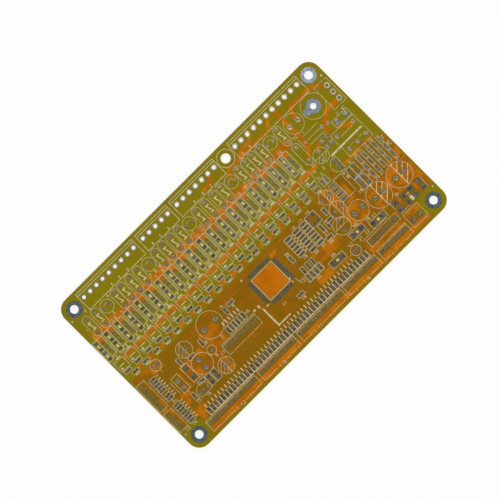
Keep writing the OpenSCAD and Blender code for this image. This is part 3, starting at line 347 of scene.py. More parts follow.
@dataclass(frozen=True)
class MaskedCopper(Finish):
    """The same lacquer over copper, which shows through it in orange.

    Attributes:
        bright: The colour where the lacquer is thin.
        deep: The colour where it is thick.
    """

    bright: Colour
    deep: Colour

    def wire(self, shader: Shader) -> dict[str, Source]:
        """Wires the lacquer over copper: slow waves of thickness and the copper's fine grain.

        Args:
            shader: The material's shader.

        Returns:
            The surface's inputs by name.
        """
        depth = shader.patches(5 * MM, spread=0.15, detail=3.0)
        grain = shader.patches(0.3 * MM, 0.93, 1.07, 0.25, detail=3.0, roughness=0.6)
        shader.relief(shader.noise(0.8 * MM, 3.0), 0.004 * MM, 0.5)
        return dict(
            Base_Color=shader.tint(shader.mix(depth, linear(*self.deep), linear(*self.bright)), grain),
            Roughness=shader.patches(4 * MM, *LACQUER_GLOSS),
            Specular_IOR_Level=LACQUER_SHINE,
        )


@dataclass(frozen=True)
class GlassFibre(Finish):
    """The laminate: pale layers of cut glass cloth at the edges, deep clear resin over cloth on the faces.

    Attributes:
        faces: The heights of its two faces.
        resin: The colour of the resin at a cut edge.
        glass: The colour of the cloth's cut ends.
        face: The colour of a face.
        layer: The thickness of a layer.
        stray: How far a layer strays up and down.
    """

    faces: tuple[float, float]
    resin: Colour = (168, 152, 66)
    glass: Colour = (206, 196, 132)
    face: Colour = (122, 118, 76)
    layer: float = 0.2 * MM
    stray: float = 0.09 * MM

    def wire(self, shader: Shader) -> dict[str, Source]:
        """Wires the layers: bands across the thickness, broken up along the cut.

        Args:
            shader: The material's shader.

        Returns:
            The surface's inputs by name.
        """
        height = shader.axes()[2]
        wander = shader.maths("MULTIPLY", shader.noise(1.2 * MM), self.stray)
        level = shader.maths("ADD", height, wander)
        bands = shader.maths("SINE", shader.maths("MULTIPLY", level, math.tau / self.layer))
        ends = shader.noise(0.12 * MM, 2.0, 0.6)
        share = shader.ramp(shader.maths("ADD", shader.maths("MULTIPLY", bands, 0.3), ends), 0.25, 0.85)
        shader.relief(share, 0.012 * MM, 0.7)
        on_face = shader.maths("MAXIMUM", *(shader.maths("COMPARE", height, face, 0.004 * MM)
                                            for face in self.faces))
        return dict(
            Base_Color=shader.mix(on_face, shader.mix(share, linear(*self.resin), linear(*self.glass)),
                                  linear(*self.face)),
            **MATT,
        )


@dataclass(frozen=True)
class LevelledTin(Finish):
    """Tin-lead as hot-air levelling leaves it.

    Attributes:
        light: The metal's colour on its clean crown.
        dull: The colour where it has dulled.
        lift: How many times brighter the metal is painted towards the inlet's corner, as painted light.
        gloss: Its lowest and highest roughness.
    """

    light: Colour
    dull: Colour
    lift: float = 2.4
    gloss: tuple[float, float] = (0.22, 0.42)

    def wire(self, shader: Shader) -> dict[str, Source]:
        """Wires the metal: dull patches, fine frost, the ripple of the set solder, and painted light towards
        the inlet's corner.

        Args:
            shader: The material's shader.

        Returns:
            The surface's inputs by name.
        """
        patch = shader.patches(1.4 * MM, spread=0.15, detail=3.0, roughness=0.6)
        frost = shader.noise(0.09 * MM)
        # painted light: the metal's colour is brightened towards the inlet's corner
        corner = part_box("laminate")[1]
        along = (shader.maths("MULTIPLY", axis, 0.5 / reach)
                 for axis, reach in zip(shader.axes(), corner[:2]))
        lift = shader.ramp(shader.maths("ADD", *along), 0.05, 0.75, 1.0, self.lift)
        shader.relief(shader.maths("ADD", shader.noise(0.45 * MM), shader.maths("MULTIPLY", frost, 0.2)),
                      0.02 * MM, 0.6)
        return dict(
            Base_Color=shader.tint(shader.mix(patch, linear(*self.dull), linear(*self.light)), lift),
            Metallic=1.0,
            Roughness=shader.ramp(frost, 0.3, 0.7, *self.gloss),
        )


@dataclass(frozen=True)
class BareCopper(Finish):
    """Rolled copper foil, under the mask.

    Attributes:
        colour: The colour of the foil.
    """

    colour: Colour = (206, 122, 62)

    def wire(self, shader: Shader) -> dict[str, Source]:
        """Wires the foil with its fine rolling grain.

        Args:
            shader: The material's shader.

        Returns:
            The surface's inputs by name.
        """
        grain = shader.noise(0.2 * MM, 3.0, 0.6, (0.2, 1.0, 1.0))
        shader.relief(grain, 0.004 * MM, 0.6)
        return dict(
            Base_Color=shader.tint(linear(*self.colour), shader.ramp(grain, 0.3, 0.7, 0.85, 1.1)),
            Metallic=1.0,
            Roughness=0.38,
        )


@dataclass(frozen=True)
class ScreenInk(Finish):
    """Cream legend ink, printed through a screen.

    Attributes:
        colour: The colour of a full coat.
        thin: The colour where the coat is thin and the mask shows through.
    """

    colour: Colour
    thin: Colour

    def wire(self, shader: Shader) -> dict[str, Source]:
        """Wires the ink: the screen's mesh and patches of thin coat.

        Args:
            shader: The material's shader.

        Returns:
            The surface's inputs by name.
        """
        patch = shader.noise(1.1 * MM, 3.0, 0.6)
        mesh = shader.ramp(shader.weave(0.16 * MM), -1.0, 1.0, -0.05, 0.05, smooth=False)
        share = shader.ramp(shader.maths("ADD", patch, mesh), 0.34, 0.56)
        shader.relief(shader.noise(0.14 * MM), 0.006 * MM, 0.6)
        return dict(
            Base_Color=shader.mix(share, linear(*self.thin), linear(*self.colour)),
            **MATT,
        )


# ---------------------------------------------------------------- mesh work


@dataclass(frozen=True)
class Welded:
    """A CAD node's mesh with its doubled points merged.

    Attributes:
        points: The points, one row each.
        faces: The triangles, as rows of point numbers.
    """

    points: np.ndarray
    faces: np.ndarray

    @classmethod
    def of(cls, node: str) -> "Welded":
        """Reads a CAD node and merges points that lie in one place.

        Args:
            node: The CAD node's name.

        Returns:
            The merged mesh.
        """
        mesh = frame["nodes"][node].data
        mesh.calc_loop_triangles()
        place = np.empty(len(mesh.vertices) * 3)
        mesh.vertices.foreach_get("co", place)
        corner = np.empty(len(mesh.loop_triangles) * 3, np.int64)
        mesh.loop_triangles.foreach_get("vertices", corner)
        place = place.reshape(-1, 3)
        _, first, inverse = np.unique(np.round(place / WELD), axis=0, return_index=True, return_inverse=True)
        faces = inverse.ravel()[corner].reshape(-1, 3)
        distinct = (faces != np.roll(faces, 1, axis=1)).all(axis=1)
        return cls(place[first], faces[distinct])

    def islands(self) -> np.ndarray:
        """Numbers the separate solids.

        Each point takes the lowest number in its triangles, until none changes.

        Returns:
            The solid's number of each point.
        """
        label = np.arange(len(self.points))
        while True:
            lowest = label[self.faces].min(axis=1)
            spread = label.copy()
            np.minimum.at(spread, self.faces.ravel(), np.repeat(lowest, 3))
            spread = spread[spread]
            if (spread == label).all():
                return np.unique(label, return_inverse=True)[1].ravel()
            label = spread

    def island_boxes(self) -> np.ndarray:
        """Measures the separate solids.

        Returns:
            A row of low X, low Y, high X and high Y for each.
        """
        label = self.islands()
        low = np.full((label.max() + 1, 2), np.inf)
        high = -low
        np.minimum.at(low, label, self.points[:, :2])
        np.maximum.at(high, label, self.points[:, :2])
        return np.hstack([low, high])

    def flat(self, level: float, face: Face) -> "Welded":
        """Takes the triangles that lie flat at one level and face outwards.

        Args:
            level: The height of the flat.
            face: The face of the board that they look out of.

        Returns:
            Those triangles, with only their own points.
        """
        corners = self.points[self.faces]
        at_level = (np.abs(corners[:, :, 2] - level) < SAME_LEVEL).all(axis=1)
        across = np.cross(corners[:, 1] - corners[:, 0], corners[:, 2] - corners[:, 0])[:, 2]
        kept = self.faces[at_level & (across * face.value > 0)]
        used, faces = np.unique(kept, return_inverse=True)
        return Welded(self.points[used], faces.reshape(-1, 3))


def placed(name: str, data: bpy.types.ID) -> bpy.types.Object:
    """Puts a mesh, a lamp or a camera into the scene, at the origin.

    Args:
        name: The object's name.
        data: The mesh, the lamp or the camera.

    Returns:
        The new object.
    """
    made = bpy.data.objects.new(name, data)
    bpy.context.scene.collection.objects.link(made)
    return made


def new_piece(name: str, points: np.ndarray, faces: Sequence[np.ndarray], slot: Slot,
              material: bpy.types.Material, smooth: bool = False) -> bpy.types.Object:
    """Makes a finished piece that rides on the board.

    Args:
        name: The piece's name.
        points: Its points in metres, one row each.
        faces: Arrays of faces, each array with its own number of corners.
        slot: The record's slot of its finish; not used.
        material: Its material.
        smooth: Whether it is shaded smooth.

    Returns:
        The new object.
    """
    mesh = bpy.data.meshes.new(name)
    mesh.from_pydata(points.tolist(), [], [row for block in faces for row in block.tolist()])
    mesh.materials.append(material)
    mesh.polygons.foreach_set("use_smooth", np.full(len(mesh.polygons), smooth))
    mesh.update()
    piece = placed(name, mesh)
    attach(piece, BODY)
    LOG.info("%s: %d faces", name, len(mesh.polygons))
    return piece


def rim_of(faces: np.ndarray) -> np.ndarray:
    """Finds the edges that only one triangle of a patch has, with the patch on their left.

    Args:
        faces: The patch's triangles.

    Returns:
        Rows of the first and the last point of each edge.
    """
    edges = np.concatenate([faces[:, [0, 1]], faces[:, [1, 2]], faces[:, [2, 0]]])
    count = int(faces.max()) + 1
    forward = edges[:, 0] * count + edges[:, 1]
    backward = edges[:, 1] * count + edges[:, 0]
    return edges[~np.isin(forward, backward)]


def outward(points: np.ndarray, rim: np.ndarray, limit: float = 1.6) -> np.ndarray:
    """Works out, for each rim point, the step that moves both its edges outwards by 1.

    An edge's normal is its direction turned clockwise. The step is the sum of the two normals over one plus
    their dot product, held to a limit at sharp corners.

    Args:
        points: The patch's points, in the plane.
        rim: The patch's directed rim edges.
        limit: The longest step.

    Returns:
        The step of each point, zero inside the patch.
    """
    along = points[rim[:, 1]] - points[rim[:, 0]]
    along = along / np.maximum(np.linalg.norm(along, axis=1, keepdims=True), TINY)
    normal = np.stack([along[:, 1], -along[:, 0]], axis=1)
    before = np.zeros_like(points)
    after = np.zeros_like(points)
    np.add.at(before, rim[:, 1], normal)
    np.add.at(after, rim[:, 0], normal)
    both = 1 + (before * after).sum(axis=1, keepdims=True)
    step = (before + after) / np.maximum(both, 0.3)
    length = np.linalg.norm(step, axis=1, keepdims=True)
    return step * np.minimum(1.0, limit / np.maximum(length, TINY))


def moulded(patch: Welded, profile: np.ndarray, face: Face) -> Form:
    """Carries a profile round a flat patch and closes it underneath.

    Row k of the profile gives how far ring k lies outside the patch's rim and at what height. The first row
    takes the patch itself, and the last row takes a copy of it that faces the other way.

    Args:
        patch: The flat patch.
        profile: Rows of outward distance and height, from the crown to the foot.
        face: The face of the board that the crown looks out of.

    Returns:
        The points, and the arrays of faces.
    """
    flat = patch.points[:, :2]
    faces = patch.faces if face is Face.TOP else patch.faces[:, ::-1]
    rim = rim_of(faces)
    step = outward(flat, rim)
    count = len(flat)
    rings = [np.column_stack([flat + step * out, np.full(count, height)]) for out, height in profile]
    walls = [np.column_stack([rim[:, 0] + (k + 1) * count, rim[:, 1] + (k + 1) * count,
                              rim[:, 1] + k * count, rim[:, 0] + k * count]) for k in range(len(profile) - 1)]
    blocks = [faces, faces[:, ::-1] + (len(profile) - 1) * count, *walls]
    if face is Face.UNDER:
        blocks = [block[:, ::-1] for block in blocks]
    return np.vstack(rings), blocks


def copies(points: np.ndarray, *faces: np.ndarray) -> Form:
    """Makes one mesh of many shapes with the same faces.

    Args:
        points: The points of each shape, as one row of points for each.
        *faces: The faces of one shape, each array with its own number of corners.

    Returns:
        The points, and the arrays of faces.
    """
    first = (np.arange(len(points)) * points.shape[1])[:, None, None]
    return points.reshape(-1, 3), [(rows + first).reshape(-1, rows.shape[1]) for rows in faces]


def joined(shapes: Iterable[tuple[np.ndarray, np.ndarray]]) -> tuple[np.ndarray, np.ndarray]:
    """Joins shapes into one.

    Args:
        shapes: The points and the faces of each.

    Returns:
        All points in turn, and the faces that follow them.
    """
    points, faces = zip(*shapes)
    first = np.cumsum([0, *map(len, points[:-1])])
    return np.vstack(points), np.vstack([rows + start for rows, start in zip(faces, first)])


# ---------------------------------------------------------------- the board's sub-assemblies


@dataclass
class CopperRelief:
    """The solder mask where it rises over the etched copper.

    Attributes:
        finishes: The copper nodes under the upper mask that take each finish.
        under: The finish over the underside's copper.
        rise: How far the mask over copper stands above the mask over laminate.
        shoulder: How wide the slope beside a track is.
        bury: How far the foot of the slope lies in the mask.
    """

    finishes: dict[MaskedCopper, tuple[str, ...]] = field(default_factory=lambda: {
        MaskedCopper("masked_square", (196, 110, 2), (182, 98, 1)): ("controller_heat_square",),
        MaskedCopper("masked_rails", (193, 113, 4), (172, 98, 2)): (
            "supply_rail", "driver_rail", "socket_feed_tracks", "edge_return_strip",
        ),
        MaskedCopper("masked_pours", (188, 110, 4), (148, 91, 2)): ("power_pours", "logic_pours"),
        MaskedCopper("masked_tracks", (160, 98, 2), (147, 90, 1)): (
            "gate_tracks", "logic_tracks", "header_tracks", "vias",
        ),
    })
    under: MaskedCopper = MaskedCopper("masked_plane", (172, 104, 4), (160, 96, 3))
    rise: float = 0.007 * MM
    shoulder: float = 0.03 * MM
    bury: float = 0.002 * MM

    def profile(self, level: float, face: Face) -> np.ndarray:
        """Gives the section of the mask's edge beside a track.

        Args:
            level: The height of the mask's own face.
            face: The face of the board.

        Returns:
            Rows of outward distance and height.
        """
        return np.array([
            [0.0, level + face.value * self.rise],
            [0.35 * self.shoulder, level + face.value * 0.8 * self.rise],
            [self.shoulder, level - face.value * self.bury],
        ])

    def cover(self, node: str, face: Face, coat: bpy.types.Material) -> None:
        """Makes the relief over one copper node.

        Args:
            node: The CAD node's name.
            face: The face of the board that it lies on.
            coat: The mask's material.
        """
        low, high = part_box(node)
        if face is Face.TOP:
            foil, level = high.z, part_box("top_mask")[1].z
        else:
            foil, level = low.z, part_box("bottom_mask")[0].z + self.rise
        form = moulded(Welded.of(node).flat(foil, face), self.profile(level, face), face)
        new_piece(f"mask_over_{node}", *form, Slot.MASK, coat)

    def build(self) -> None:
        """Dresses the copper and covers each of its nodes, on both faces."""
        foil = BareCopper("copper_foil").material()
        for finish, nodes in self.finishes.items():
            coat = finish.material()
            for node in nodes:
                dress(node, foil)
                self.cover(node, Face.TOP, coat)
        dress("bottom_copper", foil)
        self.cover("bottom_copper", Face.UNDER, self.under.material())


@dataclass
class Masks:
    """The solder mask over bare laminate, on both faces.

    Attributes:
        relief: How far the underside's sheet lies above the mask that covers its copper.
        land: The radius of a mounting hole's land.
    """

    relief: float
    land: float = 3.8 * MM

    def plane(self) -> PlaneOutline:
        """Measures the underside's copper plane, its largest solid.

        Returns:
            The plane's outline.
        """
        boxes = Welded.of("bottom_copper").island_boxes()
        sizes = (boxes[:, 2] - boxes[:, 0]) * (boxes[:, 3] - boxes[:, 1])
        low_x, low_y, high_x, high_y = boxes[sizes.argmax()].tolist()
        low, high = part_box("mounting_hole_lands")
        return PlaneOutline(
            middle=((low_x + high_x) / 2, (low_y + high_y) / 2),
            half=((high_x - low_x) / 2, (high_y - low_y) / 2),
            corner=(high.x - self.land, low.y + self.land),
        )

    def build(self) -> None:
        """Dresses the upper mask, and rebuilds the lower one so that the copper stands out of it."""
        dress("top_mask", SolderMask("top_mask", plane=self.plane()).material())
        sheet = Welded.of("bottom_mask")
        points = sheet.points.copy()
        floor = points[:, 2].min()
        points[points[:, 2] < floor + self.relief / 2, 2] += self.relief
        piece = new_piece("bottom_mask_sheet", points, [sheet.faces], Slot.MASK,
                          SolderMask("bottom_mask").material())
        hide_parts("bottom_mask")


def dress(node: str, material: bpy.types.Material) -> None:
    """Gives a CAD node its finish.

    Args:
        node: The CAD node's name.
        material: The material that takes the place of its plain one.
    """
    mesh = frame["nodes"][node].data
    if not mesh.materials:
        mesh.materials.append(material)
    for index in range(len(mesh.materials)):
        mesh.materials[index] = material


@dataclass
class TinCrowns:
    """The crowned solder on the lands, and round the plated holes.

    Attributes:
        rise: The height of the crown on a wide land.
        full_width: The width of land that takes a full crown.
        least: The share of the crown that the narrowest land takes.
        sides: The number of sides of a ring.
        bury: How far the crown's foot lies in the land.
        flat_nodes: The lands that stay flat.
        finishes: The nodes that take each finish.
    """

    rise: float = 0.024 * MM
    full_width: float = 1.4 * MM
    least: float = 0.35
    sides: int = 24
    bury: float = 0.001 * MM
    flat_nodes: tuple[str, ...] = ("earth_land", "fiducials", "mounting_hole_lands")
    finishes: dict[LevelledTin, tuple[str, ...]] = field(default_factory=lambda: {
        LevelledTin("tin", (153, 151, 136), (93, 95, 86)): (
            "channel_lands", "gate_resistor_lands", "header_resistor_lands", "chip_lands", "large_lands",
        ),
        LevelledTin("fine_tin", (118, 120, 104), (84, 90, 78)): ("controller_lands",),
        LevelledTin("ring_tin", (198, 184, 156), (138, 128, 106), 1.8): (
            "fuse_barrels", "relay_barrels", "round_part_barrels",
        ),
        LevelledTin("pin_tin", (166, 164, 142), (110, 114, 98), 1.4): (
            "channel_barrels", "lower_header_barrels", "side_header_barrels", "service_header_barrels",
        ),
        LevelledTin("bright_tin", (200, 192, 164), (160, 154, 130), 1.75, (0.24, 0.4)): (
            "socket_1_barrels", "socket_2_barrels", "socket_3_barrels", "socket_4_barrels", "inlet_barrels",
        ),
        LevelledTin("mark_tin", (244, 226, 160), (226, 206, 140), 1.2, (0.3, 0.45)): ("fiducials",),
        LevelledTin("land_tin", (132, 143, 148), (100, 112, 117), 2.8, (0.3, 0.42)): ("mounting_hole_lands",),
        LevelledTin("earth_tin", (122, 134, 140), (98, 111, 118), 2.4, (0.3, 0.42)): ("earth_land",),
    })

    def height(self, width: np.ndarray) -> np.ndarray:
        """Gives the crown's height on lands of given widths, less on narrow ones."""
        return self.rise * np.minimum(1.0, self.least + (1 - self.least) * width / self.full_width)

    def on_squares(self, boxes: np.ndarray, level: float) -> Form:
        """Makes a pillow on each rectangular land.

        With u and v from -1 to 1 across the land, the height is the crown times (1 - u^4)(1 - v^4).

        Args:
            boxes: Low X, low Y, high X and high Y of each land.
            level: The lands' upper level.

        Returns:
            The points, and the arrays of faces.
        """
        steps = np.array([-1.0, -0.8, 0.0, 0.8, 1.0])
        size = len(steps)
        v, u = (grid.ravel() for grid in np.meshgrid(steps, steps, indexing="ij"))
        middle = (boxes[:, 2:] + boxes[:, :2]) / 2
        half = (boxes[:, 2:] - boxes[:, :2]) / 2
        crown = self.height(2 * half.min(axis=1))
        points = np.stack([
            middle[:, :1] + half[:, :1] * u,
            middle[:, 1:] + half[:, 1:] * v,
            level - self.bury + crown[:, None] * (1 - u**4) * (1 - v**4),
        ], axis=2)
        first = (np.arange(size - 1)[:, None] * size + np.arange(size - 1)).ravel()
        quads = np.stack([first, first + 1, first + size + 1, first + size], axis=1)
        index = np.arange(size * size).reshape(size, size)
        rim = np.concatenate([index[0, :-1], index[:-1, -1], index[-1, :0:-1], index[:0:-1, 0]])
        return copies(points, quads, rim[None, ::-1])

    def on_rings(self, rings: np.ndarray, level: float) -> Form:
        """Makes a rounded ring round each plated hole.

        At a share t of the way from the bore to the land's edge, the height is the crown times sin(pi t).

        Args:
            rings: X, Y, bore radius and land radius of each hole.
            level: The lands' upper level.

        Returns:
            The points, and the arrays of faces.
        """
        share = np.array([0.0, 0.3, 0.7, 1.0])
        turn = np.arange(self.sides) * math.tau / self.sides
        radius = rings[:, 2:3] + (rings[:, 3:4] - rings[:, 2:3]) * share
        crown = self.height(rings[:, 3] - rings[:, 2])
        height = level - self.bury + crown[:, None] * np.sin(math.pi * share)
        points = np.stack(np.broadcast_arrays(
            rings[:, 0, None, None] + radius[:, :, None] * np.cos(turn),
            rings[:, 1, None, None] + radius[:, :, None] * np.sin(turn),
            height[:, :, None],
        ), axis=3)
        here = np.arange(self.sides)
        there = (here + 1) % self.sides
        rows = len(share)
        blocks = []
        for k in range(rows):
            inner, outer = k * self.sides, (k + 1) % rows * self.sides
            blocks.append(np.stack([inner + here, outer + here, outer + there, inner + there], axis=1))
        return copies(points.reshape(len(rings), -1, 3), np.concatenate(blocks))

    @staticmethod
    def rings_of(node: str) -> np.ndarray:
        """Measures the plated holes of a node.

        Args:
            node: The CAD node's name.

        Returns:
            X, Y, bore radius and land radius of each hole.
        """
        solid = Welded.of(node)
        label = solid.islands()
        boxes = solid.island_boxes()
        middle = (boxes[:, 2:] + boxes[:, :2]) / 2
        distance = np.linalg.norm(solid.points[:, :2] - middle[label], axis=1)
        inner = np.full(len(boxes), np.inf)
        outer = np.zeros(len(boxes))
        np.minimum.at(inner, label, distance)
        np.maximum.at(outer, label, distance)
        return np.column_stack([middle, inner, outer])

    def build(self) -> None:
        """Dresses the lands and barrels and crowns them.

        The underside's lands stay flat: a crown there would stand below the board.
        """
        slots = {entry["node"]: Slot(entry["material_slot"]) for entry in frame["record"]["subparts"]}
        for finish, nodes in self.finishes.items():
            metal = finish.material()
            for node in nodes:
                dress(node, metal)
                if node in self.flat_nodes:
                    continue
                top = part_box(node)[1].z
                if node.endswith("_lands"):
                    form = self.on_squares(Welded.of(node).island_boxes(), top)
                else:
                    form = self.on_rings(self.rings_of(node), top)
                new_piece(f"crown_{node}", *form, slots[node], metal, smooth=True)


@dataclass
class Board:
    """The board's own solids that keep their CAD form.

    Attributes:
        inks: The legend nodes that take each coat of ink.
    """

    inks: dict[ScreenInk, tuple[str, ...]] = field(default_factory=lambda: {
        ScreenInk("full_ink", (218, 214, 172), (190, 181, 120)): ("legend_sockets", "legend_channels"),
        ScreenInk("lean_ink", (200, 192, 150), (166, 154, 94)): (
            "legend_fuses", "legend_drivers", "legend_logic", "legend_power", "legend_headers",
        ),
    })

    def build(self) -> None:
        """Dresses the laminate and the legend."""
        low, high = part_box("laminate")
        dress("laminate", GlassFibre("glass_fibre", (low.z, high.z)).material())
        for finish, nodes in self.inks.items():
            ink = finish.material()
            for node in nodes:
                dress(node, ink)


# ---------------------------------------------------------------- the printed numbers


@dataclass(frozen=True)
class Numerals:
    """Plain numerals of height 1, drawn as mitred strokes.

    Attributes:
        strokes: The strokes of the numerals 0 to 9, which never cross. Each point is a column, a to g, and a
            row, A to K.
        cell: The side of a cell of their grid.
        pitch: The step from one numeral to the next.
        half: Half the width of a stroke.
        limit: The longest mitre, in half widths.
    """

    strokes: tuple[str, ...] = (
        "aDaCcAeAgCgIeKcKaIaD", "bIdKdA", "aIcKeKgIgGaAgA", "aKgKcGeGgEgCeAcAaC", "aKaEdE eIeA fEgE",
        "gKaKaGeGgEgCeAaA", "gKcKaIaCcAeAgCgEeGbG", "aKgKcA", "dFcFaHaIcKeKgIgHeFdF bEaDaCcAeAgCgDfE",
        "bAeAgCgIeKcKaIaGcEfE",
    )
    cell: float = 0.1
    pitch: float = 0.95
    half: float = 0.09
    limit: float = 1.6

    def width(self, count: int) -> float:
        """Gives the width of a number of so many numerals, as a share of its height."""
        return (count - 1) * self.pitch + 6 * self.cell

    def ribbon(self, route: np.ndarray) -> tuple[np.ndarray, np.ndarray]:
        """Makes a flat-topped ribbon along a stroke, from level 0 to level 1.

        Args:
            route: The points along the stroke.

        Returns:
            The points, and the faces as rows of 4 point numbers.
        """
        along = np.diff(route, axis=0)
        along /= np.linalg.norm(along, axis=1, keepdims=True)
        normal = np.stack([-along[:, 1], along[:, 0]], axis=1)
        before, after = np.vstack([normal[:1], normal]), np.vstack([normal, normal[-1:]])
        mitre = (before + after) / (1 + (before * after).sum(axis=1, keepdims=True))
        mitre *= np.minimum(1.0, self.limit / np.linalg.norm(mitre, axis=1, keepdims=True)) * self.half
        count = len(route)
        points = np.vstack([np.column_stack([route + side * mitre, np.full(count, float(level))])
                            for level in (1, 0) for side in (1, -1)])
        # where the lines of points begin that run along the section's corners, in turn round it
        starts = [0, count, 3 * count, 2 * count]
        here = np.arange(count - 1)
        walls = [np.stack([here + second, here + 1 + second, here + 1 + first, here + first], axis=1)
                 for first, second in zip(starts, starts[1:] + starts[:1])]
        ends = [starts, [start + count - 1 for start in reversed(starts)]]
        return points, np.vstack([*walls, ends])

    def form(self, digit: int) -> tuple[np.ndarray, np.ndarray]:
        """Makes one numeral.

        Args:
            digit: The numeral, 0 to 9.

        Returns:
            The points, and the faces as rows of 4 point numbers.
        """
        routes = [[(ord(column) - ord("a"), ord(row) - ord("A"))
                   for column, row in zip(stroke[::2], stroke[1::2])]
                  for stroke in self.strokes[digit].split()]
        return joined(self.ribbon(np.array(route) * self.cell) for route in routes)


class Occupancy:
    """A grid over the board's face that knows where something already lies."""

    def __init__(self, margin: float, cell: float = 0.1 * MM) -> None:
        """Starts with a bare board whose rim is taken.

        Args:
            margin: How far from the rim nothing is printed.
            cell: The side of a cell.
        """
        low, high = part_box("top_mask")
        self.low = np.array(low)[:2]
        self.cell = cell
        columns, rows = np.ceil((np.array(high)[:2] - self.low) / cell).astype(int) + 1
        self.taken = np.ones((rows, columns), bool)
        rim = round(margin / cell)
        self.taken[rim:-rim, rim:-rim] = False

    def window(self, box: Sequence[float]) -> np.ndarray:
        """Gives the cells under a box.

        Args:
            box: Low X, low Y, high X and high Y.

        Returns:
            A view of those cells.
        """
        cells = np.floor((np.array(box).reshape(2, 2) - self.low) / self.cell)
        (x0, y0), (x1, y1) = cells.astype(int).clip(0)
        return self.taken[y0:y1 + 1, x0:x1 + 1]

    def take_boxes(self, node: str) -> None:
        """Takes the cells under the boxes of a CAD node's solids."""
        for box in Welded.of(node).island_boxes():
            self.window(box)[:] = True

    def take_edges(self, node: str) -> None:
        """Takes the cells along the edges of a CAD node's triangles.

        Args:
            node: The CAD node's name.
        """
        solid = Welded.of(node)
        first = solid.points[solid.faces.ravel(), :2]
        last = solid.points[np.roll(solid.faces, -1, axis=1).ravel(), :2]
        count = np.ceil(np.linalg.norm(last - first, axis=1) / self.cell).astype(int) + 1
        step = np.arange(count.sum()) - np.repeat(np.cumsum(count) - count, count)
        share = (step / np.repeat(count, count))[:, None]
        place = np.repeat(first, count, axis=0) * (1 - share) + np.repeat(last, count, axis=0) * share
        column, row = ((place - self.low) / self.cell).astype(int).T
        self.taken[row, column] = True


@dataclass(frozen=True)
class Place:
    """Where a number is printed.

    Attributes:
        x: X of its first corner.
        y: Y of its first corner.
        height: Its height.
        turned: Whether it reads along Y.
    """

    x: float
    y: float
    height: float
    turned: bool


